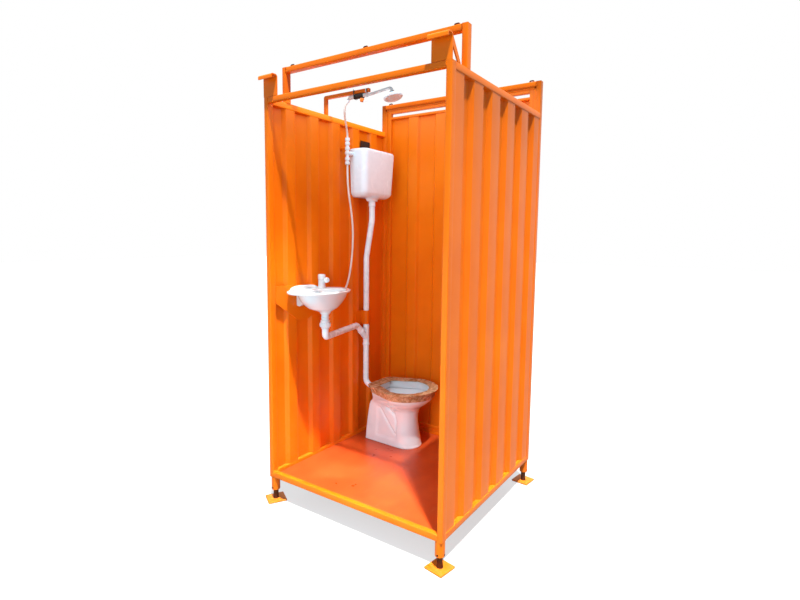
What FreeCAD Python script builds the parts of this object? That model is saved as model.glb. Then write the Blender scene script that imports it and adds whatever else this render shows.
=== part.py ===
"""Sanitary container: an open-fronted steel cabin with a toilet, a basin and a shower.

Cabin coordinates run from the front left corner of the base frame: x to the right, y to the rear, z up
from the ground. seat() moves them to the middle of the ground area that the whole container covers.
"""
import FreeCAD, Part
import math
import os
import re
import Sketcher

doc = FreeCAD.newDocument("sanitary_container")
sheet = doc.addObject("Spreadsheet::Sheet", "Sizes")
PARTS = []
CLEAR = "seat_gap"


# Driving sizes in millimetres and degrees
SIZES = {
    # Cabin
    "width": 1200,
    "depth": 1145,
    "wall_height": 2213,
    "leg_clearance": 145,
    "rear_rise": 191,
    "hoop_rise": 198,
    "hoop_setback": 137,
    "tube_face": 30,
    "tube_depth": 40,
    "tube_wall": 2,
    "rail_height": 35,
    "seat_gap": 0.3,
    "running_gap": 0.05,
    # Ribbed sheets and floor
    "sheet_thickness": 1.5,
    "sheet_inset": 3,
    "rib_depth": 24,
    "rib_pitch": 200,
    "rib_mouth": 100,
    "rib_flat": 68,
    "wall_ribs": 5,
    "floor_level": 15,
    "floor_thickness": 3,
    "bearer_width": 40,
    "bearer_margin": 20,
    "bearers": 2,
    # Coupling hooks and lashing rings
    "hook_width": 106,
    "hook_height": 110,
    "hook_reach": 44,
    "hook_lip": 24,
    "hook_plate": 6,
    "hook_bend": 8,
    "brace_drop": 55,
    "brace_rise": 106,
    "brace_heel": 52,
    "brace_toe": 80,
    "ring_length": 34,
    "ring_height": 15,
    "ring_rod": 8,
    "ring_bend": 7,
    "ring_margin": 66,
    # Levelling legs
    "leg_inset": 25,
    "socket_radius": 25,
    "socket_length": 82,
    "socket_round": 6,
    "stem_radius": 15,
    "stem_top_gap": 25,
    "foot_size": 110,
    "foot_thickness": 8,
    "foot_corner": 5,
    "front_left_yaw": -30,
    "front_right_yaw": -10,
    "rear_left_yaw": 20,
    "rear_right_yaw": -7,
    "screw_radius": 5,
    "screw_head": 8.5,
    "screw_head_height": 6,
    "screw_rise": 14,
    # Door
    "door_gap": 8,
    "leaf_depth": 30,
    "stile_width": 36,
    "leaf_top_rail": 25,
    "vent_slot": 23,
    "vent_rail": 17,
    "leaf_bottom_rail": 30,
    "door_rib_pitch": 224,
    "door_rib_mouth": 104,
    "door_rib_flat": 76,
    "door_rib_depth": 18,
    "door_ribs": 4,
    "door_sheet_inset": 4,
    "hinges": 3,
    "knuckle_radius": 9,
    "knuckle_height": 40,
    "hinge_pin": 5,
    "hinge_wing": 30,
    "wing_thickness": 4,
    "hinge_margin": 260,
    "bolt_radius": 6,
    "bolt_length": 86,
    "bolt_height": 1000,
    "bolt_reach": 22,
    "guide_width": 6,
    "guide_height": 30,
    "bolt_tip_gap": 4,
    "bolt_knob_radius": 4,
    "bolt_knob_length": 32,
    "bolt_knob_inset": 9,
    "keeper_length": 20,
    "pull_height": 1000,
    "pull_span": 160,
    "pull_reach": 38,
    "pull_radius": 6,
    "pull_bend": 18,
    # Toilet
    "toilet_setback": 290,
    "toilet_back": 125,
    "foot_back_half": 92,
    "foot_half": 104,
    "foot_shoulder": 420,
    "foot_front": 524,
    "waist_back": 132,
    "waist_back_half": 78,
    "waist_half": 88,
    "waist_shoulder": 410,
    "waist_front": 506,
    "waist_height": 215,
    "flare_back": 132,
    "flare_back_half": 98,
    "flare_half": 150,
    "flare_shoulder": 400,
    "flare_front": 560,
    "flare_height": 310,
    "rim_back": 130,
    "rim_back_half": 104,
    "rim_half": 192,
    "rim_shoulder": 402,
    "rim_front": 596,
    "rim_height": 400,
    "rim_band": 38,
    "bowl_wall": 24,
    "sump_half": 42,
    "sump_shoulder": 318,
    "sump_front": 372,
    "sump_back": 268,
    "sump_height": 190,
    "horn_radius": 27,
    "horn_length": 20,
    "horn_drop": 17,
    "wrap_flare": 26,
    "wrap_top": 10,
    "wrap_depth": 46,
    "wrap_tuck": 2,
    "wrap_overlap": 34,
    "wrap_notch": 64,
    "soil_x": 305,
    "soil_radius": 50.5,
    "soil_wall": 3,
    "soil_drop": 60,
    "soil_collar": 58,
    "pan_outlet": 38,
    # Cistern
    "cistern_drop": 498,
    "cistern_width": 330,
    "cistern_depth": 132,
    "tank_height": 298,
    "lid_height": 28,
    "tank_taper": 9,
    "tank_wall": 3,
    "tank_corner": 40,
    "tank_sole": 28,
    "sole_inset": 15.5,
    "curve_rise": 8,
    "curve_inset": 8,
    "lid_round": 12,
    "bracket_thickness": 4,
    "bracket_bar": 230,
    "bracket_bar_height": 60,
    "bracket_tab": 100,
    "bracket_drop": 30,
    "bracket_rise": 68,
    "outlet_inset": 59.5,
    "outlet_funnel": 54,
    "outlet_nut": 24,
    "outlet_funnel_height": 14,
    "outlet_nut_height": 44,
    "bell_radius": 26,
    "bell_height": 96,
    "bell_stem": 4,
    "bell_head": 8,
    "bell_head_height": 6,
    "bell_play": 5,
    "lever_pivot_inset": 30,
    "lever_drop": 62,
    "lever_width": 10,
    "lever_depth": 8,
    "lever_tail": 45,
    "lever_slot": 24,
    "lever_pin": 3,
    "lever_ear": 5,
    "link_slot_gap": 1,
    "fill_reach": 33.5,
    "fill_drop": 15,
    "fill_radius": 11,
    "fill_length": 46,
    "float_arm_length": 205,
    "float_radius": 24,
    "float_rod": 3,
    "float_drop": 30,
    # Flush pipe, waste and trap
    "pipe_radius": 20,
    "pipe_wall": 2,
    "pipe_reach": 28.5,
    "pipe_bend": 110,
    "flush_bend_radius": 50,
    "kink_drop": 155,
    "kink_run": 260,
    "branch_fall": 454,
    "branch_height": 147,
    "branch_radius": 24,
    "branch_mouth": 112,
    "branch_angle": 45,
    "branch_side": 22.5,
    "branch_side_bore": 17,
    "strap_gap": 9,
    "strap_height": 98,
    "strap_left": 85,
    "strap_right": 105,
    "strap_thickness": 3,
    "waste_tail": 22,
    "trap_nut": 34,
    "trap_nut_height": 52,
    "nut_chamfer": 4,
    "trap_drop": 162,
    "trap_bend": 46,
    "trap_rise": 62,
    "trap_lead": 68,
    # Basin
    "basin_rim": 1122,
    "basin_half": 197,
    "basin_depth": 296,
    "basin_back_half": 150,
    "basin_shoulder": 148,
    "basin_lip": 15,
    "basin_wall": 11,
    "basin_bowl_depth": 122,
    "upstand_height": 25,
    "upstand_thickness": 16,
    "basin_deck": 66,
    "bowl_half": 167,
    "bowl_back_half": 104,
    "bowl_front": 274,
    "belly_back": 78,
    "belly_half": 144,
    "belly_back_half": 89,
    "belly_front": 262,
    "belly_drop": 51,
    "low_back": 104,
    "low_half": 100,
    "low_back_half": 62,
    "low_front": 240,
    "low_drop": 95,
    "sole_back": 150,
    "sole_half": 34,
    "sole_back_half": 22,
    "sole_front": 212,
    "bowl_overcut": 1,
    "plate_thickness": 3,
    "plate_span": 444,
    "plate_rise": 28,
    "plate_drop": 100,
    "plate_tip": 220,
    "plate_tip_width": 90,
    "tap_inset": 44,
    "tap_shift": 116,
    "tap_radius": 22,
    "tap_base": 26,
    "tap_height": 52,
    "knob_height": 34,
    "knob_radius": 24,
    "spout_reach": 52,
    "spout_radius": 11,
    "spout_height": 34,
    "tap_tail": 9,
    "tap_tail_length": 58,
    "tap_flange": 6,
    "tap_flange_round": 4,
    "knob_chamfer": 4,
    # Water supply and shower
    "supply_reach": 31.5,
    "supply_shift": 27.5,
    "tee_run": 58,
    "stack_above": 97,
    "stack_below": 76,
    "supply_radius": 11,
    "collar_radius": 16,
    "collar_height": 19,
    "collar_step": 9,
    "hose_socket": 25,
    "inlet_rise": 29,
    "inlet_radius": 10.5,
    "inlet_reach": 25,
    "inlet_flange": 15.5,
    "inlet_flange_thickness": 4,
    "hose_radius": 6.5,
    "shower_y": 490,
    "bar_size": 20,
    "bar_rise": 117,
    "bar_reach": 365,
    "bar_bend": 14,
    "valve_left": 203,
    "valve_right": 350,
    "valve_radius": 12,
    "elbow_radius": 10,
    "elbow_length": 34,
    "elbow_angle": 45,
    "sleeve_start": 252,
    "sleeve_length": 70,
    "sleeve_radius": 15,
    "lever_x": 308,
    "knob_drop": 22,
    "lever_knob": 13,
    "lever_reach": 48,
    "lever_thickness": 7,
    "arm_radius": 8,
    "arm_lead": 24,
    "arm_lead_bend": 90,
    "arm_reach": 180,
    "arm_rise": 17,
    "arm_bend": 18,
    "arm_drop": 24,
    "head_radius": 57,
    "head_height": 40,
    "head_neck": 15,
    "head_neck_height": 32,
    "head_shoulder": 27,
    "head_shoulder_height": 29,
    "head_edge": 8,
    "face_thickness": 5,
    "face_radius": 52,
    "face_round": 3,
    "ball_radius": 11,
    "ball_cover": 3,
    # Rivets
    "rivet_radius": 5,
    "rivet_height": 2.5,
    "rivet_margin": 12,
}

# Places that follow from the sizes, in the order in which they build on each other
PLACES = {
    "wall_line": "sheet_inset + rib_depth + sheet_thickness",
    "outlet_x": "wall_line + bracket_thickness + cistern_depth - outlet_inset",
    "fill_x": "wall_line + fill_reach",
    "pipe_x": "wall_line + pipe_reach",
    "supply_x": "wall_line + supply_reach",
    "toilet_y": "depth - toilet_setback",
    "supply_y": "depth/2 + rib_pitch/2 - supply_shift",
    "cistern_y": "supply_y + tee_run + cistern_width/2",
    "cistern_bottom": "wall_height - cistern_drop",
    "tee_height": "cistern_bottom + tank_height - fill_drop",
    "lever_height": "tank_height - lever_drop",
    "supply_bottom": "tee_height - stack_below",
    "supply_top": "tee_height + stack_above",
    "inlet_height": "tee_height + inlet_rise",
    "kink_top": "cistern_bottom - kink_drop",
    "kink_bottom": "kink_top - kink_run",
    "branch_bottom": "basin_rim - branch_fall",
    "branch_top": "branch_bottom + branch_height",
    "strap_low": "branch_top + strap_gap",
    "plate_top": "basin_rim + plate_rise",
    "basin_y": "tube_depth + plate_span/2",
}
NAMES = [*SIZES, *PLACES]
CELLS = [str(size) for size in SIZES.values()] + [f"={text}" for text in PLACES.values()]

# Points that the two hoses pass as they hang, in cabin coordinates above the base frame
BASIN_HOSE = [
    (60, 645, 1834), (60, 657, 1735), (60, 685, 1622), (60, 703, 1500), (60, 701, 1378), (60, 685, 1262),
    (60, 660, 1160), (61, 622, 1088), (63, 562, 1042), (67, 504, 1004), (72, 450, 979), (75, 403, 986),
    (75.5, 378, 1024),
]
SHOWER_HOSE = [
    (175.4, 490, 2255.1), (163, 497, 2229), (150, 513, 2207), (118, 557, 2182), (86.6, 604.8, 2151),
    (66.5, 635.2, 2126), (60, 645, 2102),
]
# Share of a hose's shorter run that a bend takes up at each end
BEND_SHARE = 0.45

for row, (name, cell) in enumerate(zip(NAMES, CELLS), 1):
    sheet.set(f"A{row}", name)
    sheet.setAlias(f"B{row}", name)
    sheet.set(f"B{row}", cell)
doc.recompute()


def formula(text):
    """Turn the plain size names in a formula into references to the sheet."""
    return re.sub(r"[a-z][a-z0-9_]*", lambda word: f"Sizes.{word[0]}" if word[0] in NAMES else word[0],
                  str(text))


def value(text):
    """The number that a formula gives."""
    return float(sheet.evalExpression(formula(text)))


def bind(item, sizes):
    """Tie an object's properties to formulas."""
    for name, text in sizes.items():
        item.setExpression(name, formula(text))


def foot_reach(corner):
    """How far a square foot with clipped corners reaches from its stem when it is turned."""
    across = f"abs(cos({corner}_yaw))"
    along = f"abs(sin({corner}_yaw))"
    return f"foot_size/2*max({across}; {along}) + (foot_size/2 - foot_corner)*min({across}; {along})"


# The rectangle of ground that the container covers, and its middle
LEFT_END = f"leg_inset - max({foot_reach('front_left')}; {foot_reach('rear_left')})"
RIGHT_END = f"width - leg_inset + max({foot_reach('front_right')}; {foot_reach('rear_right')})"
FRONT_FEET = f"leg_inset - max({foot_reach('front_left')}; {foot_reach('front_right')})"
FRONT_END = f"min({FRONT_FEET}; hook_plate - hook_reach)"
REAR_FEET = f"depth - leg_inset + max({foot_reach('rear_left')}; {foot_reach('rear_right')})"
REAR_END = f"max({REAR_FEET}; depth + pull_reach + pull_radius)"
CENTRE_X = f"(({LEFT_END}) + ({RIGHT_END}))/2"
CENTRE_Y = f"(({FRONT_END}) + ({REAR_END}))/2"

# Levels and lines that several pieces share
BASE = "leg_clearance"
FLOOR = "leg_clearance + floor_level"
WALL_TOP = "leg_clearance + wall_height"
REAR_TOP = "leg_clearance + wall_height + rear_rise"
WALL_LINE = "wall_line"
LEAF_LEFT = "tube_face + door_gap"
LEAF_LOW = "leg_clearance + rail_height + door_gap"
LEAF_HIGH = "leg_clearance + wall_height + rear_rise - tube_face - door_gap"
LEAF_BACK = "depth"
LEAF_FACE = "depth - leaf_depth"


def seat(item, x, y, z):
    """Place an object by a point in cabin coordinates."""
    bind(item, {"Placement.Base.x": f"({x}) - ({CENTRE_X})", "Placement.Base.y": f"({y}) - ({CENTRE_Y})"})
    bind(item, {"Placement.Base.z": z})
    return item


def turn(item, axis, angle):
    """Turn an object about its own origin."""
    item.Placement = FreeCAD.Placement(FreeCAD.Vector(), FreeCAD.Rotation(FreeCAD.Vector(*axis), angle))
    return item


def keep(item, label):
    """Hand a finished sub-part over under its own name."""
    item.Label = label
    PARTS.append(item)
    return item


# Solids from primitives

def block(name, x, y, z, length, width, height):
    """A box by its low corner and its three sides."""
    item = doc.addObject("Part::Box", name)
    bind(item, {"Length": length, "Width": width, "Height": height})
    return seat(item, x, y, z)


def rod(name, x, y, z, radius, length, axis="z"):
    """A round bar that starts at a point and runs along +x, +y, -y, +z or -z."""
    item = doc.addObject("Part::Cylinder", name)
    turns = {"x": ((0, 1, 0), 90), "y": ((1, 0, 0), -90), "-y": ((1, 0, 0), 90), "z": ((0, 0, 1), 0)}
    turns["-z"] = ((1, 0, 0), 180)
    turns["-x"] = ((0, 1, 0), -90)
    turn(item, *turns[axis])
    bind(item, {"Radius": radius, "Height": length})
    return seat(item, x, y, z)


def cut(name, base, *tools):
    """One solid with others taken out of it."""
    for index, tool in enumerate(tools):
        item = doc.addObject("Part::Cut", f"{name}_{index}")
        item.Base = base
        item.Tool = tool
        base = item
    return base


def fuse(name, *members):
    """Several solids welded into one."""
    item = doc.addObject("Part::MultiFuse", name)
    item.Shapes = list(members)
    return item


def group(name, members):
    """Separate solids that share one sub-part."""
    item = doc.addObject("Part::Compound", name)
    item.Links = list(members)
    return item


def box_tube(name, x, y, z, length, width, height, along):
    """Rectangular steel tube, open at the ends of its run."""
    low = {"x": x, "y": y, "z": z}
    span = {"x": length, "y": width, "z": height}
    outer = block(name + "_outer", x, y, z, length, width, height)
    for side in "xyz".replace(along, ""):
        low[side] = f"{low[side]} + tube_wall"
        span[side] = f"{span[side]} - 2*tube_wall"
    bore = block(name + "_bore", low["x"], low["y"], low["z"], span["x"], span["y"], span["z"])
    return cut(name, outer, bore)


# Solids from sketches

def new_body(name):
    """An empty body for sketched features."""
    return doc.addObject("PartDesign::Body", name)


def pin(sketch, kind, edge, point, text):
    """Tie one coordinate of a sketch point to a formula."""
    rule = sketch.addConstraint(Sketcher.Constraint(kind, -1, 1, edge, point, value(text)))
    sketch.setExpression(f"Constraints[{rule}]", formula(text))


def draw(sketch, corners):
    """A closed loop. A corner with a centre and a turn of 1 or -1 starts an arc, others an edge."""
    spots = [FreeCAD.Vector(value(corner[0]), value(corner[1]), 0) for corner in corners]
    ends = []
    for index, corner in enumerate(corners):
        start = spots[index]
        stop = spots[(index + 1) % len(spots)]
        if len(corner) == 2:
            ends.append((sketch.addGeometry(Part.LineSegment(start, stop), False), 1, 2))
            continue
        middle = FreeCAD.Vector(value(corner[2]), value(corner[3]), 0)
        first, last = (start, stop) if corner[4] > 0 else (stop, start)
        angles = [math.atan2(spot.y - middle.y, spot.x - middle.x) for spot in (first, last)]
        circle = Part.Circle(middle, FreeCAD.Vector(0, 0, 1), start.distanceToPoint(middle))
        arc = sketch.addGeometry(Part.ArcOfCircle(circle, *angles), False)
        ends.append((arc, 1, 2) if corner[4] > 0 else (arc, 2, 1))
    for index, (edge, start, stop) in enumerate(ends):
        after = ends[(index + 1) % len(ends)]
        sketch.addConstraint(Sketcher.Constraint("Coincident", edge, stop, after[0], after[1]))
    for index, (edge, start, stop) in enumerate(ends):
        corner = corners[index]
        pin(sketch, "DistanceX", edge, start, corner[0])
        pin(sketch, "DistanceY", edge, start, corner[1])
        if len(corner) > 2:
            chord = spots[(index + 1) % len(spots)] - spots[index]
            steep = abs(chord.y) >= abs(chord.x)
            pin(sketch, "DistanceX" if steep else "DistanceY", edge, 3, corner[2] if steep else corner[3])


def outline(body, name, role, corners, lift="0"):
    """A sketch on one of the body's own planes, lifted along that plane's normal."""
    sketch = body.newObject("Sketcher::SketchObject", name)
    support = next(item for item in body.Origin.OriginFeatures if item.Role == role)
    sketch.AttachmentSupport = [(support, "")]
    sketch.MapMode = "FlatFace"
    bind(sketch, {"AttachmentOffset.Base.z": lift})
    draw(sketch, corners)
    return sketch


def pad(body, name, role, corners, length, lift="0"):
    """Extrude an outline along its plane's normal."""
    profile = outline(body, name + "_outline", role, corners, lift)
    feature = body.newObject("PartDesign::Pad", name)
    feature.Profile = profile
    bind(feature, {"Length": length})
    return feature


def pocket(body, name, role, corners, length, lift="0"):
    """Cut an outline into the body, against the plane's normal."""
    profile = outline(body, name + "_outline", role, corners, lift)
    feature = body.newObject("PartDesign::Pocket", name)
    feature.Profile = profile
    bind(feature, {"Length": length})
    return feature


def turned(name, corners):
    """A round solid about its own z axis, from (radius, height) corners."""
    body = new_body(name)
    profile = outline(body, name + "_profile", "XZ_Plane", corners)
    feature = body.newObject("PartDesign::Revolution", name + "_turned")
    feature.Profile = profile
    feature.ReferenceAxis = (profile, ["V_Axis"])
    feature.Angle = 360
    return body


def loft(body, name, kind, sections, ruled=False):
    """A skin through a row of outlines, smooth or with straight rulings."""
    feature = body.newObject(f"PartDesign::{kind}Loft", name)
    feature.Profile = sections[0]
    feature.Sections = sections[1:]
    feature.Ruled = ruled
    return feature


def egg(back, back_half, shoulder, half, front):
    """A plan outline with a straight back, slanting sides and a round front, about y = 0."""
    nose = f"({front}) - ({shoulder})"
    centre = f"({front}) - (({half})^2 + ({nose})^2)/(2*({nose}))"
    rear = [(back, f"-({back_half})"), (shoulder, f"-({half})", centre, "0", 1), (shoulder, half),
            (back, back_half)]
    return rear


# Solids along a route

def points_of(route):
    """A route's formulas as points in the container's own frame."""
    middle = FreeCAD.Vector(value(CENTRE_X), value(CENTRE_Y), 0)
    return [FreeCAD.Vector(*(value(text) for text in spot)) - middle for spot in route]


def bent_wire(spots, radii):
    """Straight runs joined by tangent arcs of the given radii."""
    edges = []
    start = spots[0]
    for before, corner, after, radius in zip(spots, spots[1:], spots[2:], radii):
        come = (corner - before).normalize()
        leave = (after - corner).normalize()
        half_turn = come.getAngle(leave)/2
        cut_back = radius*math.tan(half_turn)
        first = corner - come*cut_back
        last = corner + leave*cut_back
        inward = (leave - come).normalize()
        middle = corner + inward*(radius/math.cos(half_turn) - radius)
        edges.append(Part.LineSegment(start, first).toShape())
        edges.append(Part.Arc(first, middle, last).toShape())
        start = last
    edges.append(Part.LineSegment(start, spots[-1]).toShape())
    return Part.Wire(edges)


def swept(wire, spots, radius):
    """A round bar along a wire."""
    ring = Part.Wire(Part.makeCircle(radius, spots[0], spots[1] - spots[0]))
    return wire.makePipeShell([ring], True, False)


def route_solid(name, route, radius, bends, wall=None):
    """A bar or, with a wall, a pipe along straight runs and arcs."""
    spots = points_of(route)
    wire = bent_wire(spots, [value(bend) for bend in bends])
    solid = swept(wire, spots, value(radius))
    expected = math.pi*value(radius)**2*wire.Length
    if wall:
        solid = solid.cut(swept(wire, spots, value(f"{radius} - {wall}")))
        expected -= math.pi*value(f"{radius} - {wall}")**2*wire.Length
    print(f"{name}: volume {solid.Volume/expected:.4f} of section times length, {wire.Length:.1f} mm long")
    item = doc.addObject("Part::Feature", name)
    item.Shape = solid
    return item


def hose(name, route):
    """A limp hose, each bend as large as its two runs allow."""
    spots = points_of(route)
    bends = []
    for before, corner, after in zip(spots, spots[1:], spots[2:]):
        run = min(before.distanceToPoint(corner), corner.distanceToPoint(after))
        half_turn = (corner - before).getAngle(after - corner)/2
        bends.append(BEND_SHARE*run/math.tan(half_turn))
    print(f"{name}: bend radii", [round(bend) for bend in bends])
    return keep(route_solid(name, route, "hose_radius", bends), name)


# Frame

def frame():
    """Posts, rails, header and roof hoop."""
    rear_posts = "wall_height + rear_rise"
    posts = []
    for side, x in (("left", "0"), ("right", "width - tube_face")):
        for end, y, height in (("front", "0", "wall_height"), ("rear", "depth - tube_depth", rear_posts)):
            posts.append(box_tube(f"{end}_{side}_post", x, y, BASE, "tube_face", "tube_depth", height, "z"))
    keep(group("posts", posts), "corner_posts")
    run = "depth - 2*tube_depth"
    clear = "width - 2*tube_face"
    for label, z in (("side_bottom_rails", BASE), ("side_top_rails", f"{WALL_TOP} - rail_height")):
        rails = []
        for side, x in (("left", "0"), ("right", "width - tube_face")):
            rails.append(box_tube(f"{side}_{label}", x, "tube_depth", z, "tube_face", run, "rail_height",
                                  "y"))
        keep(group(f"{label}_pair", rails), label)
    front = box_tube("front_sill", "tube_face", "0", BASE, clear, "tube_face", "rail_height", "x")
    rear = box_tube("rear_sill", "tube_face", "depth - tube_depth", BASE, clear, "tube_depth",
                    "rail_height", "x")
    keep(group("sills", [front, rear]), "cross_sills")
    header_low = f"{WALL_TOP} - tube_face"
    keep(box_tube("header", "tube_face", "0", header_low, clear, "tube_face", "tube_face", "x"),
         "front_header")
    beam_low = f"{REAR_TOP} - tube_face"
    beam = box_tube("rear_beam", "tube_face", "depth - tube_depth", beam_low, clear, "tube_depth",
                    "tube_face", "x")
    keep(beam, "rear_top_beam")
    hoop = []
    for side, x in (("left", "0"), ("right", "width - tube_face")):
        hoop.append(box_tube(f"hoop_{side}", x, "hoop_setback", WALL_TOP, "tube_face", "tube_depth",
                             "hoop_rise", "z"))
    hoop_low = f"{WALL_TOP} + hoop_rise - tube_face"
    hoop.append(box_tube("hoop_beam", "tube_face", "hoop_setback", hoop_low, clear, "tube_depth",
                         "tube_face", "x"))
    keep(group("hoop", hoop), "roof_hoop")


def lashing_rings():
    """Low staples of bent rod, three on the hoop and two on the rear beam."""
    hoop_top = f"{WALL_TOP} + hoop_rise"
    hoop_y = "hoop_setback + tube_depth/2"
    rear_y = "depth - tube_depth/2"
    ends = ("ring_margin", "width - ring_margin")
    places = [(x, hoop_y, hoop_top) for x in (ends[0], "width/2", ends[1])]
    places += [(x, rear_y, REAR_TOP) for x in ends]
    rings = []
    for index, (x, y, z) in enumerate(places):
        left = f"{x} - ring_length/2 + ring_rod/2"
        right = f"{x} + ring_length/2 - ring_rod/2"
        top = f"{z} + ring_height - ring_rod/2"
        route = [(left, y, z), (left, y, top), (right, y, top), (right, y, z)]
        rings.append(route_solid(f"ring_{index}", route, "ring_rod/2", ["ring_bend", "ring_bend"]))
    keep(group("rings", rings), "lashing_rings")


def ribbed_sheet(name, run, height, count, sizes, side=1):
    """Sheet with trapezoid ribs across y, bulging to +x for side 1 and to -x for side -1."""
    pitch, mouth, flat, depth = sizes
    lean = f"sheet_thickness*(sqrt({depth}^2 + (({mouth} - {flat})/2)^2) - ({mouth} - {flat})/2)/{depth}"
    near = [("0", "0")]
    far = [("sheet_thickness", "0")]
    for index in range(count):
        middle = f"({run})/2 + {pitch}*({index} - {count - 1}/2)"
        for x, reach, way in (("0", mouth, -1), (depth, flat, -1), (depth, flat, 1), ("0", mouth, 1)):
            near.append((x, f"{middle} + {way}*{reach}/2"))
            far.append((f"{x} + sheet_thickness", f"{middle} + {way}*({reach}/2 + {lean})"))
    near.append(("0", run))
    far.append(("sheet_thickness", run))
    corners = [(f"{side}*({x})", y) for x, y in near + far[::-1]]
    body = new_body(name)
    pad(body, name + "_sheet", "XY_Plane", corners, height)
    return body


def walls_and_floor():
    """Ribbed side walls, floor plate and the bearers under it."""
    run = "depth - 2*tube_depth"
    height = "wall_height - 2*rail_height"
    low = f"{BASE} + rail_height"
    sizes = ("rib_pitch", "rib_mouth", "rib_flat", "rib_depth")
    count = int(value("wall_ribs"))
    left = seat(ribbed_sheet("left_sheet", run, height, count, sizes), "sheet_inset", "tube_depth", low)
    inlet_z = f"{BASE} + inlet_height"
    hole = rod("inlet_hole", "-inlet_reach", "supply_y", inlet_z, f"inlet_radius + {CLEAR}",
               "2*inlet_reach", "x")
    keep(cut("left_wall", left, hole), "left_wall_sheet")
    right = seat(ribbed_sheet("right_sheet", run, height, count, sizes, -1), "width - sheet_inset",
                 "tube_depth", low)
    keep(right, "right_wall_sheet")
    clear = "width - 2*tube_face"
    floor_run = "depth - tube_face - tube_depth"
    plate_low = f"{FLOOR} - floor_thickness"
    plate = block("floor", "tube_face", "tube_face", plate_low, clear, floor_run, "floor_thickness")
    drain = rod("floor_hole", "soil_x", "toilet_y", BASE, f"soil_radius + {CLEAR}", "2*floor_level")
    keep(cut("floor_cut", plate, drain), "floor_plate")
    bars = []
    count = int(value("bearers"))
    for index in range(count):
        room = "toilet_y - soil_collar - bearer_margin - tube_face"
        y = f"tube_face + ({room})*{index + 1}/{count} - bearer_width"
        height = "floor_level - floor_thickness"
        bars.append(block(f"bearer_{index}", "tube_face", y, BASE, clear, "bearer_width", height))
    keep(group("bearer_bars", bars), "floor_bearers")


def coupling_hooks():
    """Bent plates on the front corners that hook over a neighbouring frame, each with a flat brace."""
    out = "hook_plate + hook_bend"
    top = "hook_height"
    front = "hook_plate - hook_reach"
    corners = [
        ("0", "0"), ("hook_plate", "0"),
        ("hook_plate", f"{top} - ({out})", f"hook_plate - ({out})", f"{top} - ({out})", 1),
        (f"hook_plate - ({out})", top), (f"{front} + ({out})", top, f"{front} + ({out})",
                                         f"{top} - ({out})", 1),
        (front, f"{top} - ({out})"), (front, f"{top} - hook_lip"),
        (f"{front} + hook_plate", f"{top} - hook_lip"),
        (f"{front} + hook_plate", f"{top} - ({out})", f"{front} + ({out})", f"{top} - ({out})", -1),
        (f"{front} + ({out})", f"{top} - hook_plate"),
        ("-hook_bend", f"{top} - hook_plate", "-hook_bend", f"{top} - ({out})", -1),
        ("0", f"{top} - ({out})"),
    ]
    brace = [("hook_plate", "brace_drop"), ("brace_heel", "0"), ("brace_toe", "0"),
             ("hook_plate", "brace_rise - hook_bend")]
    hooks = []
    braces = []
    for side, x, brace_x in (("left", "0", "0"), ("right", "width - hook_width", "width - hook_plate")):
        hook = new_body(f"{side}_hook")
        pad(hook, f"{side}_hook_plate", "YZ_Plane", corners, "hook_width")
        hooks.append(seat(hook, x, "0", WALL_TOP))
        bar = new_body(f"{side}_brace")
        pad(bar, f"{side}_brace_bar", "YZ_Plane", brace, "hook_plate")
        braces.append(seat(bar, brace_x, "0", WALL_TOP))
    keep(group("hooks", hooks), "coupling_hooks")
    keep(group("braces", braces), "hook_braces")


# Levelling legs

def legs():
    """Sockets under the base frame, stems that slide in them, clamp screws and square feet."""
    sockets = []
    screws = []
    places = {}
    for side, x, outward in (("left", "leg_inset", "-x"), ("right", "width - leg_inset", "x")):
        for end, y, way in (("front", "leg_inset", "-y"), ("rear", "depth - leg_inset", "y")):
            places[f"{end}_{side}"] = (x, y, (outward, way))
    bore = "stem_radius + running_gap"
    rim = "socket_radius - socket_round"
    profile = [(bore, "0"), (rim, "0", rim, "socket_round", 1), ("socket_radius", "socket_round"),
               ("socket_radius", "socket_length"), (bore, "socket_length")]
    screw_z = f"{BASE} - socket_length + screw_rise"
    for corner, (x, y, ways) in places.items():
        socket = seat(turned(f"{corner}_socket", profile), x, y, f"{BASE} - socket_length")
        holes = []
        for way in ways:
            name = f"{corner}_{way.strip('-')}"
            holes.append(rod(f"{name}_hole", x, y, screw_z, f"screw_radius + {CLEAR}", "2*socket_radius",
                             way))
            shank = rod(f"{name}_shank", x, y, screw_z, "screw_radius", "socket_radius + screw_head_height",
                        way)
            head = rod(f"{name}_head", x, y, screw_z, "screw_head", "socket_radius + screw_head_height", way)
            core = rod(f"{name}_core", x, y, BASE, f"stem_radius + {CLEAR}", "2*socket_length", "-z")
            shell = rod(f"{name}_shell", x, y, BASE, "socket_radius", "2*socket_length", "-z")
            screw = fuse(f"{name}_screw", cut(f"{name}_point", shank, core), cut(f"{name}_cap", head, shell))
            screws.append(screw)
        sockets.append(cut(f"{corner}_drilled", socket, *holes))
        foot = new_body(f"{corner}_leg_body")
        edge = "foot_size/2"
        flat = "foot_size/2 - foot_corner"
        square = []
        for sx, sy in ((1, -1), (1, 1), (-1, 1), (-1, -1)):
            ends = [(f"{sx}*{edge}", f"{sy}*({flat})"), (f"{sx}*({flat})", f"{sy}*{edge}")]
            square += ends if sx*sy > 0 else ends[::-1]
        pad(foot, f"{corner}_foot", "XY_Plane", square, "foot_thickness")
        bind(foot, {"Placement.Rotation.Angle": f"{corner}_yaw"})
        seat(foot, x, y, "0")
        stem_top = "leg_clearance - stem_top_gap - foot_thickness"
        stem = rod(f"{corner}_stem", x, y, "foot_thickness", "stem_radius", stem_top)
        keep(fuse(f"{corner}_leg_weld", foot, stem), f"{corner}_leg")
    keep(group("sockets", sockets), "leg_sockets")
    keep(group("screws", screws), "leg_screws")


# Door

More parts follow.
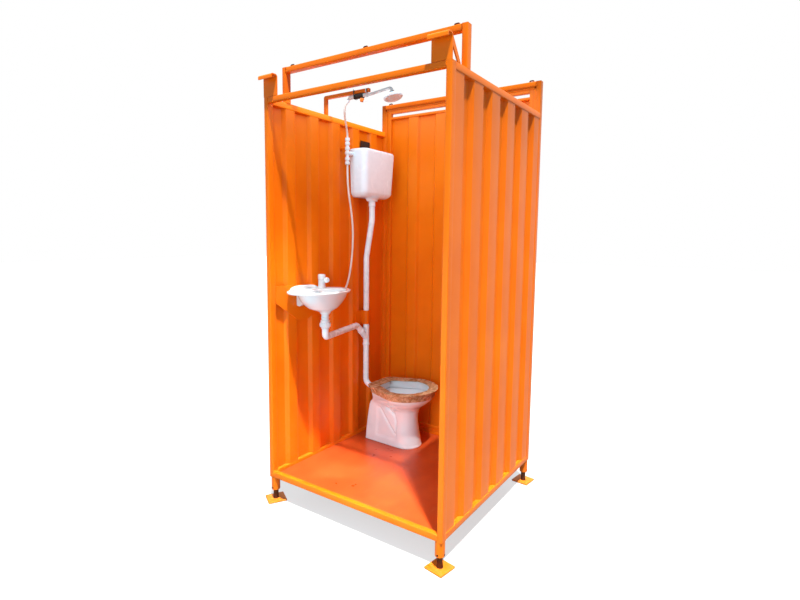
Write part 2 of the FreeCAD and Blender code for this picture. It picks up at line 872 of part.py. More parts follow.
def door():
    """Leaf in the rear frame, its hinges, its slide bolt and its outside pull."""
    leaf_height = f"({LEAF_HIGH}) - ({LEAF_LOW})"
    right_stile = "width - tube_face - door_gap - stile_width"
    stiles = []
    for side, x in (("left", LEAF_LEFT), ("right", right_stile)):
        stile = box_tube(f"{side}_stile", x, LEAF_FACE, LEAF_LOW, "stile_width", "leaf_depth", leaf_height,
                         "z")
        stiles.append(stile)
    keep(group("stiles", stiles), "door_stiles")
    inner = f"{LEAF_LEFT} + stile_width"
    span = "width - 2*(tube_face + door_gap + stile_width)"
    vent_low = f"{LEAF_HIGH} - leaf_top_rail - vent_slot - vent_rail"
    rails = []
    for name, z, height in (("top", f"{LEAF_HIGH} - leaf_top_rail", "leaf_top_rail"),
                            ("vent", vent_low, "vent_rail"), ("bottom", LEAF_LOW, "leaf_bottom_rail")):
        rails.append(box_tube(f"door_{name}_rail", inner, LEAF_FACE, z, span, "leaf_depth", height, "x"))
    keep(group("leaf_rails", rails), "door_rails")
    sizes = ("door_rib_pitch", "door_rib_mouth", "door_rib_flat", "door_rib_depth")
    panel_low = f"{LEAF_LOW} + leaf_bottom_rail"
    panel_height = f"({vent_low}) - ({panel_low})"
    panel = ribbed_sheet("door_sheet", span, panel_height, int(value("door_ribs")), sizes)
    turn(panel, (0, 0, 1), -90)
    keep(seat(panel, inner, f"{LEAF_BACK} - door_sheet_inset", panel_low), "door_panel")
    hinge_set()
    slide_bolt(right_stile)
    pull_x = f"{right_stile} + stile_width/2"
    out = f"{LEAF_BACK} + pull_reach"
    low = f"{BASE} + pull_height"
    high = f"{low} + pull_span"
    route = [(pull_x, LEAF_BACK, low), (pull_x, out, low), (pull_x, out, high), (pull_x, LEAF_BACK, high)]
    keep(route_solid("pull", route, "pull_radius", ["pull_bend", "pull_bend"]), "door_pull")


def hinge_set():
    """Lift-off hinges on the rear face: the frame half carries the pin, the door half turns on it."""
    x = "tube_face + door_gap/2"
    y = "depth + knuckle_radius"
    count = int(value("hinges"))
    lower = []
    upper = []
    for index in range(count):
        room = f"({LEAF_HIGH}) - ({LEAF_LOW}) - 2*hinge_margin"
        z = f"{LEAF_LOW} + hinge_margin + ({room})*{index}/{count - 1} - knuckle_height"
        joint = f"{z} + knuckle_height"
        wing_x = f"{x} - hinge_wing"
        wing = block(f"frame_wing_{index}", wing_x, "depth", z, "hinge_wing", "wing_thickness",
                     "knuckle_height")
        barrel = rod(f"frame_barrel_{index}", x, y, z, "knuckle_radius", "knuckle_height")
        post = rod(f"hinge_pin_{index}", x, y, z, "hinge_pin", "2*knuckle_height - knuckle_radius")
        lower.append(fuse(f"frame_knuckle_{index}", wing, barrel, post))
        top = f"{joint} + {CLEAR}"
        tall = f"knuckle_height - {CLEAR}"
        wing = block(f"door_wing_{index}", x, "depth", top, "hinge_wing", "wing_thickness", tall)
        barrel = rod(f"door_barrel_{index}", x, y, top, "knuckle_radius", tall)
        bore = rod(f"door_bore_{index}", x, y, top, "hinge_pin + running_gap", tall)
        upper.append(cut(f"door_knuckle_{index}", fuse(f"door_weld_{index}", wing, barrel), bore))
    keep(group("frame_knuckles", lower), "hinge_frame_knuckles")
    keep(group("door_knuckles", upper), "hinge_door_knuckles")


def slide_bolt(stile):
    """Round bolt in two guides on the inside of the leaf, and its keeper on the rear post."""
    z = f"{BASE} + bolt_height"
    y = f"{LEAF_FACE} - bolt_reach"
    hole = "bolt_radius + running_gap"
    guides = []
    near = f"bolt_reach + 2*bolt_radius"
    low = f"{z} - guide_height/2"
    for index, x in enumerate((stile, f"{stile} + stile_width - guide_width")):
        face = f"{LEAF_FACE} - ({near})"
        body = block(f"guide_block_{index}", x, face, low, "guide_width", near, "guide_height")
        bore = rod(f"guide_bore_{index}", x, y, z, hole, "guide_width", "x")
        guides.append(cut(f"guide_{index}", body, bore))
    keep(group("guides", guides), "bolt_guides")
    start = f"{stile} + stile_width + bolt_tip_gap - bolt_length"
    bar = rod("bolt_bar", start, y, z, "bolt_radius", "bolt_length", "x")
    knob = rod("bolt_knob", f"{start} + bolt_knob_inset", y, z, "bolt_knob_radius", "bolt_knob_length", "-y")
    keep(fuse("bolt", bar, knob), "door_bolt")
    post_face = "depth - tube_depth"
    deep = f"({post_face}) - (({y}) - 2*bolt_radius)"
    body = block("keeper_block", "width - tube_face", f"{y} - 2*bolt_radius", low, "keeper_length", deep,
                 "guide_height")
    bore = rod("keeper_bore", "width - tube_face", y, z, f"bolt_radius + {CLEAR}", "keeper_length", "x")
    keep(cut("keeper", body, bore), "bolt_keeper")


# Toilet

def toilet():
    """Ceramic pan, the paper wrapped round its rim, and the soil outlet below the floor."""
    pan = new_body("pan")
    foot = egg("toilet_back", "foot_back_half", "foot_shoulder", "foot_half", "foot_front")
    waist = egg("waist_back", "waist_back_half", "waist_shoulder", "waist_half", "waist_front")
    flare = egg("flare_back", "flare_back_half", "flare_shoulder", "flare_half", "flare_front")
    rim = egg("rim_back", "rim_back_half", "rim_shoulder", "rim_half", "rim_front")
    band = "rim_height - rim_band"
    levels = [("foot", foot, "0"), ("waist", waist, "waist_height"), ("flare", flare, "flare_height"),
              ("band", rim, band)]
    skins = [outline(pan, f"pan_{name}", "XY_Plane", plan, level) for name, plan, level in levels]
    loft(pan, "pan_skin", "Additive", skins)
    pad(pan, "pan_rim", "XY_Plane", rim, "rim_band", band)
    inner = egg("rim_back + 2*bowl_wall", "rim_back_half - bowl_wall", "rim_shoulder", "rim_half - bowl_wall",
                "rim_front - bowl_wall")
    throat = egg("flare_back + 4*bowl_wall", "flare_back_half - 2*bowl_wall", "flare_shoulder",
                 "flare_half - bowl_wall", "flare_front - bowl_wall")
    sump = egg("sump_back", "sump_half/2", "sump_shoulder", "sump_half", "sump_front")
    hollows = [("mouth", inner, "rim_height"), ("throat", throat, "flare_height"),
               ("sump", sump, "sump_height")]
    skins = [outline(pan, f"pan_{name}", "XY_Plane", plan, level) for name, plan, level in hollows]
    loft(pan, "pan_bowl", "Subtractive", skins)
    seat(pan, "0", "toilet_y", FLOOR)
    horn_z = f"{FLOOR} + rim_height - horn_drop"
    horn = rod("horn", "rim_back - horn_length", "toilet_y", horn_z, "horn_radius",
               "horn_length + bowl_wall", "x")
    bore = rod("horn_bore", "rim_back - horn_length", "toilet_y", horn_z, f"pipe_radius + {CLEAR}",
               "horn_length", "x")
    pan_top = block("pan_top", "0", "0", f"{FLOOR} + rim_height", "width", "depth", "2*horn_radius")
    outlet = rod("pan_outlet_bore", "soil_x", "toilet_y", FLOOR, "pan_outlet", "sump_height + bowl_wall")
    keep(cut("pan_piece", fuse("pan_weld", pan, horn), bore, pan_top, outlet), "toilet_bowl")
    rim_wrap()
    soil = rod("soil_outer", "soil_x", "toilet_y", f"{BASE} - soil_drop", "soil_radius",
               f"soil_drop + floor_level")
    inside = rod("soil_inner", "soil_x", "toilet_y", f"{BASE} - soil_drop", "soil_radius - soil_wall",
                 "2*soil_drop")
    collar = rod("soil_collar_ring", "soil_x", "toilet_y", BASE, "soil_collar",
                 "floor_level - floor_thickness")
    keep(cut("soil", fuse("soil_weld", soil, collar), inside), "soil_outlet")


def rim_wrap():
    """Packing paper folded over the rim: it leans out to the top and tucks in over the ceramic."""
    wrap = new_body("wrap")
    grow = "wrap_flare"
    slim = "wrap_tuck + 2*seat_gap"

    def around(gap):
        """The rim's plan, larger all round by a gap."""
        return egg(f"rim_back - ({gap})", f"rim_back_half + ({gap})", "rim_shoulder", f"rim_half + ({gap})",
                   f"rim_front + ({gap})")

    low = "rim_height - wrap_depth"
    top = "rim_height + wrap_top"
    skins = [outline(wrap, "wrap_low", "XY_Plane", around(slim), low),
             outline(wrap, "wrap_top", "XY_Plane", around(grow), top)]
    loft(wrap, "wrap_skin", "Additive", skins)
    over = f"rim_height + {CLEAR}"
    pocket(wrap, "wrap_inside", "XY_Plane", around(CLEAR), "2*wrap_depth", over)
    hole = egg("rim_back + wrap_overlap + bowl_wall", "rim_back_half - wrap_overlap", "rim_shoulder",
               "rim_half - wrap_overlap", "rim_front - wrap_overlap")
    pocket(wrap, "wrap_mouth", "XY_Plane", hole, "2*wrap_depth", f"{top} + wrap_top")
    seat(wrap, "0", "toilet_y", FLOOR)
    notch_x = f"rim_back - 2*wrap_flare"
    wide = "wrap_notch"
    notch = block("wrap_notch_box", notch_x, f"toilet_y - {wide}/2", f"{FLOOR} + {low}", "2*wrap_flare",
                  wide, "2*wrap_depth")
    keep(cut("wrap_piece", wrap, notch), "rim_wrap")


# Cistern

def cistern():
    """Plastic tank on its bracket, its lid, and the flushing and filling pieces inside."""
    back = f"{WALL_LINE} + bracket_thickness"
    low = f"{BASE} + cistern_bottom"
    tank = new_body("tank")

    def plan(shrink, wall="0"):
        """The tank's plan, drawn in from its brim and by a wall, with its two front corners rounded."""
        half = f"cistern_width/2 - ({shrink}) - {wall}"
        deep = f"cistern_depth - ({shrink}) - {wall}"
        bend = f"(tank_corner - {wall})"
        turn_x = f"{deep} - {bend}"
        turn_y = f"{half} - {bend}"
        return [(wall, f"-({half})"), (turn_x, f"-({half})", turn_x, f"-({turn_y})", 1),
                (deep, f"-({turn_y})"),
                (deep, turn_y, turn_x, turn_y, 1), (turn_x, half), (wall, half)]

    levels = (("sole", "tank_taper + sole_inset", "0"), ("curve", "tank_taper + curve_inset", "curve_rise"),
              ("side", "tank_taper", "tank_sole"), ("brim", "0", "tank_height"))
    skins = [outline(tank, f"tank_{name}", "XY_Plane", plan(inset), level) for name, inset, level in levels]
    loft(tank, "tank_skin", "Additive", skins, True)
    floors = ("tank_wall", "curve_rise + tank_wall/2", "tank_sole", "tank_height")
    hollows = []
    for (name, inset, _), level in zip(levels, floors):
        hollows.append(outline(tank, f"tank_in_{name}", "XY_Plane", plan(inset, "tank_wall"), level))
    loft(tank, "tank_hollow", "Subtractive", hollows, True)
    seat(tank, back, "cistern_y", low)
    outlet = rod("tank_outlet", "outlet_x", "toilet_y", low, "pipe_radius - pipe_wall", "2*tank_wall")
    inlet_y = "cistern_y - cistern_width/2 - tank_wall"
    inlet_z = f"{BASE} + tee_height"
    inlet = rod("tank_inlet", "fill_x", inlet_y, inlet_z, f"fill_radius + {CLEAR}", "4*tank_wall", "y")
    pivot_y = "cistern_y + cistern_width/2 - lever_pivot_inset"
    ear_z = f"{low} + lever_height - lever_depth"
    slot_x = "outlet_x - lever_width/2 - link_slot_gap"
    slot = block("lever_window", slot_x, pivot_y, f"{ear_z} - lever_depth", "lever_width + 2*link_slot_gap",
                 "2*lever_pivot_inset", "3*lever_depth")
    ears = []
    for index, x in enumerate((f"{slot_x} - lever_ear", "outlet_x + lever_width/2 + link_slot_gap")):
        ear_y = f"{pivot_y} - lever_depth"
        wide = "lever_pivot_inset + lever_depth - tank_wall/2"
        ears.append(block(f"lever_ear_{index}", x, ear_y, ear_z, "lever_ear", wide, "2*lever_depth"))
    pin_z = f"{low} + lever_height"
    axle = rod("lever_axle", f"{slot_x} - lever_ear", pivot_y, pin_z, "lever_pin",
               "lever_width + 2*lever_ear + 2*link_slot_gap", "x")
    keep(fuse("tank_piece", cut("tank_cut", tank, outlet, inlet, slot), *ears, axle), "cistern_tank")
    lid = new_body("lid")
    crown = "lid_height - lid_round"
    skins = [outline(lid, f"lid_{name}", "XY_Plane", plan(inset), level)
             for name, inset, level in (("low", "0", "0"), ("side", "0", crown),
                                        ("top", "lid_round", "lid_height"))]
    loft(lid, "lid_skin", "Additive", skins, True)
    pocket(lid, "lid_hollow", "XY_Plane", plan("0", "tank_wall"), "2*lid_height", crown)
    keep(seat(lid, back, "cistern_y", f"{low} + tank_height"), "cistern_lid")
    wall_bracket(low)
    flush_works(low, pivot_y, pin_z)
    filling_works(inlet_z)


def wall_bracket(low):
    """T-shaped hanger between the wall ribs and the tank."""
    bracket = new_body("bracket")
    bar = "bracket_bar/2"
    tab = "bracket_tab/2"
    high = "tank_height - bracket_drop"
    peak = "tank_height + lid_height + bracket_rise"
    foot = f"{high} - bracket_bar_height"
    tee = [(f"-{bar}", foot), (bar, foot), (bar, high), (tab, high), (tab, peak), (f"-{tab}", peak),
           (f"-{tab}", high), (f"-{bar}", high)]
    pad(bracket, "bracket_plate", "YZ_Plane", tee, "bracket_thickness")
    keep(seat(bracket, WALL_LINE, "cistern_y", low), "cistern_bracket")


def flush_works(low, pivot_y, pin_z):
    """Outlet coupling under the tank, the bell over the outlet and the lever that lifts it."""
    funnel = "outlet_funnel_height"
    bore = "pipe_radius - pipe_wall"
    coupling = turned("outlet_coupling", [
        (bore, "0"), ("outlet_nut", "0"), ("outlet_nut", "outlet_nut_height"),
        ("outlet_funnel", "outlet_nut_height + outlet_funnel_height"),
        (bore, f"outlet_nut_height + {funnel}")])
    keep(seat(coupling, "outlet_x", "toilet_y", f"{low} - outlet_nut_height - {funnel}"), "flush_coupling")
    inside = f"{low} + tank_wall"
    head_low = f"{pin_z} - ({inside}) + lever_depth/2 + bell_play"
    bell = turned("bell", [
        ("0", "0"), ("bell_radius", "0"), ("bell_radius", "bell_height - bell_radius"),
        ("bell_stem", "bell_height"), ("bell_stem", head_low), ("bell_head", head_low),
        ("bell_head", f"{head_low} + bell_head_height"), ("0", f"{head_low} + bell_head_height")])
    keep(seat(bell, "outlet_x", "toilet_y", inside), "flush_bell")
    reach = f"({pivot_y}) - toilet_y + lever_slot/2 + lever_width/2"
    arm_y = f"{pivot_y} - ({reach})"
    arm_low = f"{pin_z} - lever_depth/2"
    x = "outlet_x - lever_width/2 - bell_stem"
    arm = block("lever_arm", "outlet_x - lever_width/2", f"toilet_y + lever_slot/2", arm_low, "lever_width",
                f"({pivot_y}) - toilet_y - lever_slot/2 + lever_pivot_inset + lever_tail", "lever_depth")
    eye = block("lever_eye", x, arm_y, arm_low, "lever_width + 2*bell_stem", f"lever_slot + lever_width",
                "lever_depth")
    gap = "bell_stem + link_slot_gap"
    slot = block("lever_slot", f"outlet_x - ({gap})", "toilet_y - lever_slot/2", arm_low, f"2*({gap})",
                 "lever_slot", "lever_depth")
    hole = rod("lever_hole", "outlet_x - lever_width", pivot_y, pin_z, "lever_pin + running_gap",
               "2*lever_width", "x")
    keep(cut("lever", fuse("lever_weld", arm, eye), slot, hole), "flush_lever")


def filling_works(inlet_z):
    """Fill valve through the tank's near end and the float on its arm."""
    near = "cistern_y - cistern_width/2"
    pivot_y = f"{near} + fill_length"
    body = rod("fill_body", "fill_x", near, inlet_z, "fill_radius", "fill_length - fill_radius", "y")
    fork_y = f"{near} + fill_length - 2*fill_radius"
    ears = []
    for index, way in enumerate((-1, 1)):
        x = f"fill_x - lever_ear/2 + {way}*(float_rod + {CLEAR} + lever_ear/2)"
        ears.append(block(f"fill_ear_{index}", x, fork_y, f"{inlet_z} - fill_radius", "lever_ear",
                          "3*fill_radius", "2*fill_radius"))
    pin_x = f"fill_x - float_rod - {CLEAR} - lever_ear"
    axle = rod("float_axle", pin_x, pivot_y, inlet_z, "float_rod/2", f"2*(float_rod + {CLEAR} + lever_ear)",
               "x")
    keep(fuse("fill", body, *ears, axle), "fill_valve")
    bar = turn(doc.addObject("Part::Cylinder", "float_bar"), (-1, 0, 0), 90)
    bind(bar, {"Radius": "float_rod", "Height": "float_arm_length + float_rod",
               "Placement.Rotation.Angle": "90 + float_drop"})
    seat(bar, "fill_x", f"{pivot_y} - float_rod*cos(float_drop)", f"{inlet_z} + float_rod*sin(float_drop)")
    hole = rod("float_hole", f"{pin_x} - lever_ear", pivot_y, inlet_z, f"float_rod/2 + running_gap",
               "6*lever_ear", "x")
    ball = doc.addObject("Part::Sphere", "float_ball")
    bind(ball, {"Radius": "float_radius"})
    reach = f"{pivot_y} + float_arm_length*cos(float_drop)"
    seat(ball, "fill_x", reach, f"{inlet_z} - float_arm_length*sin(float_drop)")
    keep(cut("float", fuse("float_weld", bar, ball), hole), "float_arm")


# Flush pipe, basin and waste

def drain_pipes():
    """Flush pipe from the cistern, the Y branch, the bend into the pan and the strap."""
    y = "toilet_y"
    start = f"{BASE} + cistern_bottom - outlet_nut_height - outlet_funnel_height"
    route = [("outlet_x", y, start), ("outlet_x", y, f"{BASE} + kink_top"),
             ("pipe_x", y, f"{BASE} + kink_bottom"),
             ("pipe_x", y, f"{BASE} + branch_top")]
    keep(route_solid("flush", route, "pipe_radius", ["pipe_bend", "pipe_bend"], "pipe_wall"), "flush_pipe")
    low = f"{BASE} + branch_bottom"
    tall = "branch_height"
    upright = rod("branch_upright", "pipe_x", y, low, "branch_radius", tall)
    through = rod("branch_through", "pipe_x", y, low, "pipe_radius - pipe_wall", tall)
    sides = []
    for radius in ("branch_side", "branch_side_bore"):
        side = turn(doc.addObject("Part::Cylinder", f"{radius}_run"), (1, 0, 0), value("branch_angle"))
        bind(side, {"Radius": radius, "Height": "branch_mouth", "Placement.Rotation.Angle": "branch_angle"})
        sides.append(seat(side, "pipe_x", y, f"{low} + branch_radius"))
    keep(cut("branch", fuse("branch_weld", upright, sides[0]), through, sides[1]), "flush_y_branch")
    inlet = f"{FLOOR} + rim_height - horn_drop"
    route = [("pipe_x", y, low), ("pipe_x", y, inlet), ("rim_back", y, inlet)]
    keep(route_solid("bend", route, "pipe_radius", ["flush_bend_radius"], "pipe_wall"), "flush_bend")
    strap = new_body("strap")
    inner = f"pipe_radius + {CLEAR}"
    outer = f"{inner} + strap_thickness"
    axis = f"pipe_x - ({WALL_LINE})"
    corners = [
        ("0", "-strap_left"), ("strap_thickness", "-strap_left"), ("strap_thickness", f"-({outer})"),
        (axis, f"-({outer})", axis, "0", 1), (axis, outer), ("strap_thickness", outer),
        ("strap_thickness", "strap_right"), ("0", "strap_right"), ("0", inner),
        (axis, inner, axis, "0", -1), (axis, f"-({inner})"), ("0", f"-({inner})")]
    pad(strap, "strap_band", "XY_Plane", corners, "strap_height")
    keep(seat(strap, WALL_LINE, y, f"{BASE} + strap_low"), "pipe_strap")


def basin():
    """Ceramic basin on its backing plate, with waste and trap."""
    back = f"{WALL_LINE} + plate_thickness"
    top = f"{BASE} + basin_rim"
    bowl = new_body("bowl")
    slab = egg("0", "basin_back_half", "basin_shoulder", "basin_half", "basin_depth")
    pad(bowl, "basin_slab", "XY_Plane", slab, "basin_lip", "-basin_lip")

    def ring(rear, back_half, half, nose, wall):
        """The bowl's plan at one level, drawn in by a wall."""
        return egg(f"{rear} + {wall}", f"{back_half} - {wall}", f"({rear} + {nose})/2", f"{half} - {wall}",
                   f"{nose} - {wall}")

    levels = [
        ("rim", "basin_deck", "bowl_back_half", "bowl_half", "bowl_front", "0"),
        ("belly", "belly_back", "belly_back_half", "belly_half", "belly_front", "belly_drop"),
        ("low", "low_back", "low_back_half", "low_half", "low_front", "low_drop"),
        ("sole", "sole_back", "sole_back_half", "sole_half", "sole_front", "basin_bowl_depth"),
    ]
    skins = []
    hollows = []
    for name, rear, back_half, half, nose, drop in levels:
        outer = ring(rear, back_half, half, nose, "0")
        inner = ring(rear, back_half, half, nose, "basin_wall")
        skins.append(outline(bowl, f"bowl_{name}", "XY_Plane", outer, f"-basin_lip/2 - {drop}"))
        hollows.append(outline(bowl, f"hollow_{name}", "XY_Plane", inner, f"bowl_overcut - {drop}"))
    loft(bowl, "bowl_skin", "Additive", skins)
    loft(bowl, "bowl_hollow", "Subtractive", hollows)
    upstand = [("0", "-basin_back_half"), ("upstand_thickness", "-basin_back_half"),
               ("upstand_thickness", "basin_back_half"), ("0", "basin_back_half")]
    pad(bowl, "basin_upstand", "XY_Plane", upstand, "upstand_height")
    seat(bowl, back, "basin_y", top)
    waste_x = f"{back} + (sole_back + sole_front)/2"
    tall = "2*basin_bowl_depth"
    drain = rod("basin_drain", waste_x, "basin_y", f"{top} - {tall}", "waste_tail - pipe_wall", tall)
    tap_x = f"{back} + tap_inset"
    hole_low = f"{top} - basin_bowl_depth"
    hole = rod("tap_hole", tap_x, "basin_y + tap_shift", hole_low, f"tap_tail + {CLEAR}", tall)
    keep(cut("basin_piece", bowl, drain, hole), "basin")
    plate = new_body("plate")
    low_corner = "plate_top - plate_drop"
    tip = "plate_top - plate_tip"
    half = "plate_span/2"
    nib = "plate_tip_width/2"
    shape = [(f"-{half}", "plate_top"), (f"-{half}", low_corner), (f"-{nib}", tip), (nib, tip),
             (half, low_corner), (half, "plate_top")]
    pad(plate, "plate_sheet", "YZ_Plane", shape, "plate_thickness")
    keep(seat(plate, WALL_LINE, "basin_y", BASE), "basin_plate")
    trap(waste_x, f"{top} - basin_lip/2 - basin_bowl_depth")


def trap(x, top):
    """Waste tail and nut under the bowl, and the pipe that runs to the Y branch."""
    bore = "pipe_radius - pipe_wall"
    nut_low = f"({top}) - 2*trap_nut_height"
    tail = turned("tail", [
        (bore, "0"), ("waste_tail", "0"), ("trap_nut", "nut_chamfer"),
        ("trap_nut", "trap_nut_height - nut_chamfer"),
        ("waste_tail", "trap_nut_height"), ("waste_tail", "2*trap_nut_height"), (bore, "2*trap_nut_height")])
    keep(seat(tail, x, "basin_y", nut_low), "basin_waste")
    end_y = "toilet_y - branch_mouth*sin(branch_angle)"
    end_z = f"{BASE} + branch_bottom + branch_radius + branch_mouth*cos(branch_angle)"
    knee_y = f"{end_y} - trap_lead*sin(branch_angle)"
    knee_z = f"{end_z} + trap_lead*cos(branch_angle)"
    route = [(x, "basin_y", nut_low), (x, "basin_y", f"{BASE} + basin_rim - basin_bowl_depth - trap_drop"),
             ("pipe_x", knee_y, knee_z), ("pipe_x", end_y, end_z)]
    keep(route_solid("trap", route, "pipe_radius", ["trap_bend", "trap_rise"], "pipe_wall"), "trap_pipe")


def tap():
    """Pillar tap in the basin's deck: body with spout, turning knob."""
    x = f"{WALL_LINE} + plate_thickness + tap_inset"
    y = "basin_y + tap_shift"
    z = f"{BASE} + basin_rim"
    body = turned("tap_pillar", [
        ("0", "-tap_tail_length"), ("tap_tail", "-tap_tail_length"), ("tap_tail", "0"), ("tap_base", "0"),
        ("tap_base", "tap_flange"), ("tap_radius", "tap_flange + tap_flange_round"),
        ("tap_radius", "tap_height"),
        ("0", "tap_height")])
    seat(body, x, y, z)
    spout = rod("spout", x, y, f"{z} + spout_height", "spout_radius", "spout_reach", "x")
    nose_x = f"{x} + spout_reach - spout_radius"
    nose_low = f"{z} + spout_height - 2*spout_radius"
    nose = rod("spout_nose", nose_x, y, nose_low, "spout_radius", "2*spout_radius")
    keep(fuse("tap_weld", body, spout, nose), "tap_body")
    knob = turned("tap_cap", [
        ("0", CLEAR), ("knob_radius", CLEAR), ("knob_radius", "knob_height - knob_chamfer"),
        ("knob_radius - knob_chamfer", "knob_height"), ("0", "knob_height")])
    keep(seat(knob, x, y, f"{z} + tap_height"), "tap_knob")


# Water supply and shower

def supply():
    """Stack of couplings with a tee to the cistern and the inlet through the wall, and the two hoses."""
    low = f"{BASE} + supply_bottom"
    tall = "supply_top - supply_bottom"
    stem = rod("supply_stem", "supply_x", "supply_y", low, "supply_radius", tall)
    collars = []
    step = "collar_height + collar_step"
    levels = ("supply_bottom", f"supply_bottom + {step}", "tee_height - collar_height/2",
              "inlet_height - collar_height/2", f"supply_top - collar_height - ({step})",
              "supply_top - collar_height")
    for index, level in enumerate(levels):
        z = f"{BASE} + {level}"
        collars.append(rod(f"supply_collar_{index}", "supply_x", "supply_y", z, "collar_radius",
                           "collar_height"))
    branch = rod("supply_branch", "supply_x", "supply_y", f"{BASE} + tee_height", "supply_radius",
                 "tee_run", "y")
    inlet_z = f"{BASE} + inlet_height"
    nipple = rod("inlet_nipple", "-inlet_reach", "supply_y", inlet_z, "inlet_radius",
                 "inlet_reach + supply_x", "x")
    outside = "sheet_inset - inlet_flange_thickness"
    inside = "sheet_inset + sheet_thickness"
    nuts = []
    for index, x in enumerate((outside, inside)):
        nuts.append(rod(f"inlet_nut_{index}", x, "supply_y", inlet_z, "inlet_flange",
                        "inlet_flange_thickness", "x"))
    weld = fuse("supply_weld", stem, *collars, branch, nipple, *nuts)
    socket_z = f"{BASE} + supply_top - hose_socket"
    socket = rod("hose_socket_bore", "supply_x", "supply_y", socket_z, f"hose_radius + {CLEAR}",
                 "hose_socket")
    keep(cut("supply", weld, socket), "supply_tee")
    stack = ("supply_x", "supply_y", "supply_bottom")
    tail = (f"{WALL_LINE} + plate_thickness + tap_inset", "basin_y + tap_shift",
            "basin_rim - tap_tail_length")
    elbow = ("valve_left + valve_radius - elbow_length*sin(elbow_angle)", "shower_y",
             f"{VALVE_AXIS} - elbow_length*cos(elbow_angle)")
    top = ("supply_x", "supply_y", "supply_top - hose_socket")
    for name, start, points, end in (("basin_hose", stack, BASIN_HOSE, tail),
                                     ("shower_hose", elbow, SHOWER_HOSE, top)):
        hose(name, [(x, y, f"{BASE} + ({z})") for x, y, z in (start, *points, end)])


# The valve hangs under the support bar in its sleeve, measured above the base frame
VALVE_AXIS = f"wall_height + bar_rise - bar_size - sleeve_radius - {CLEAR}"


def shower():
    """Support bar on the left top rail, valve in its sleeve, lever, arm and head."""
    bar = new_body("bar")
    low = "tube_face/2 - bar_size/2"
    high = "tube_face/2 + bar_size/2"
    out = "bar_bend"
    corners = [
        (low, "0"), (high, "0"), (high, "bar_rise - bar_size"), ("bar_reach", "bar_rise - bar_size"),
        ("bar_reach", "bar_rise"), (f"{low} + {out}", "bar_rise", f"{low} + {out}", f"bar_rise - {out}", 1),
        (low, f"bar_rise - {out}")]
    pad(bar, "bar_bent", "XZ_Plane", corners, "bar_size")
    keep(seat(bar, "0", "shower_y + bar_size/2", WALL_TOP), "shower_bar")
    z = f"{BASE} + {VALVE_AXIS}"
    knee = "valve_left + valve_radius"
    tube = rod("valve_tube", knee, "shower_y", z, "valve_radius", f"valve_right - ({knee})", "x")
    ball = doc.addObject("Part::Sphere", "elbow_ball")
    bind(ball, {"Radius": "valve_radius"})
    elbow = turn(doc.addObject("Part::Cylinder", "valve_elbow"), (0, -1, 0), value("180 - elbow_angle"))
    bind(elbow, {"Radius": "elbow_radius", "Height": "elbow_length",
                 "Placement.Rotation.Angle": "180 - elbow_angle"})
    members = [tube, seat(ball, knee, "shower_y", z), seat(elbow, knee, "shower_y", z)]
    keep(fuse("valve_weld", *members), "shower_valve")
    skin = rod("sleeve_skin", "sleeve_start", "shower_y", z, "sleeve_radius", "sleeve_length", "x")
    bore = rod("sleeve_bore", "sleeve_start", "shower_y", z, f"valve_radius + {CLEAR}", "sleeve_length", "x")
    keep(cut("sleeve", skin, bore), "valve_sleeve")
    knob_top = f"{z} - sleeve_radius - {CLEAR}"
    knob = rod("lever_knob", "lever_x", "shower_y", f"{knob_top} - knob_drop", "lever_knob", "knob_drop")
    handle = block("lever_handle", "lever_x", "shower_y - lever_thickness/2", f"{knob_top} - knob_drop",
                   "lever_reach", "lever_thickness", "lever_thickness")
    keep(fuse("lever_weld_2", knob, handle), "shower_lever")
    tip_x = "valve_right + arm_reach"
    tip_z = f"{z} + arm_rise"
    ball_z = f"{tip_z} - arm_drop"
    route = [("valve_right", "shower_y", z), ("valve_right + arm_lead", "shower_y", z),
             (tip_x, "shower_y", tip_z), (tip_x, "shower_y", ball_z)]
    pipe = route_solid("arm", route, "arm_radius", ["arm_lead_bend", "arm_bend"])
    ball = doc.addObject("Part::Sphere", "arm_ball")
    socket = doc.addObject("Part::Sphere", "head_socket")
    for item, radius in ((ball, "ball_radius"), (socket, "ball_radius + running_gap")):
        bind(item, {"Radius": radius})
        seat(item, tip_x, "shower_y", ball_z)
    keep(fuse("arm_weld", pipe, ball), "shower_arm")
    neck_top = "face_thickness + head_height"
    dome = turned("dome", [
        ("0", "face_thickness"), ("head_radius", "face_thickness"),
        ("head_radius", "face_thickness + head_edge"),
        ("head_shoulder", "face_thickness + head_shoulder_height"),
        ("head_neck", "face_thickness + head_neck_height"),
        ("head_neck", neck_top), ("0", neck_top)])
    rose = turned("rose", [
        ("0", "0"), ("face_radius - face_round", "0"), ("face_radius", "face_round"),
        ("face_radius", "face_thickness"), ("0", "face_thickness")])
    head_z = f"{ball_z} + ball_cover - ({neck_top})"
    members = [seat(piece, tip_x, "shower_y", head_z) for piece in (dome, rose)]
    keep(cut("head", fuse("head_weld", *members), socket), "shower_head")


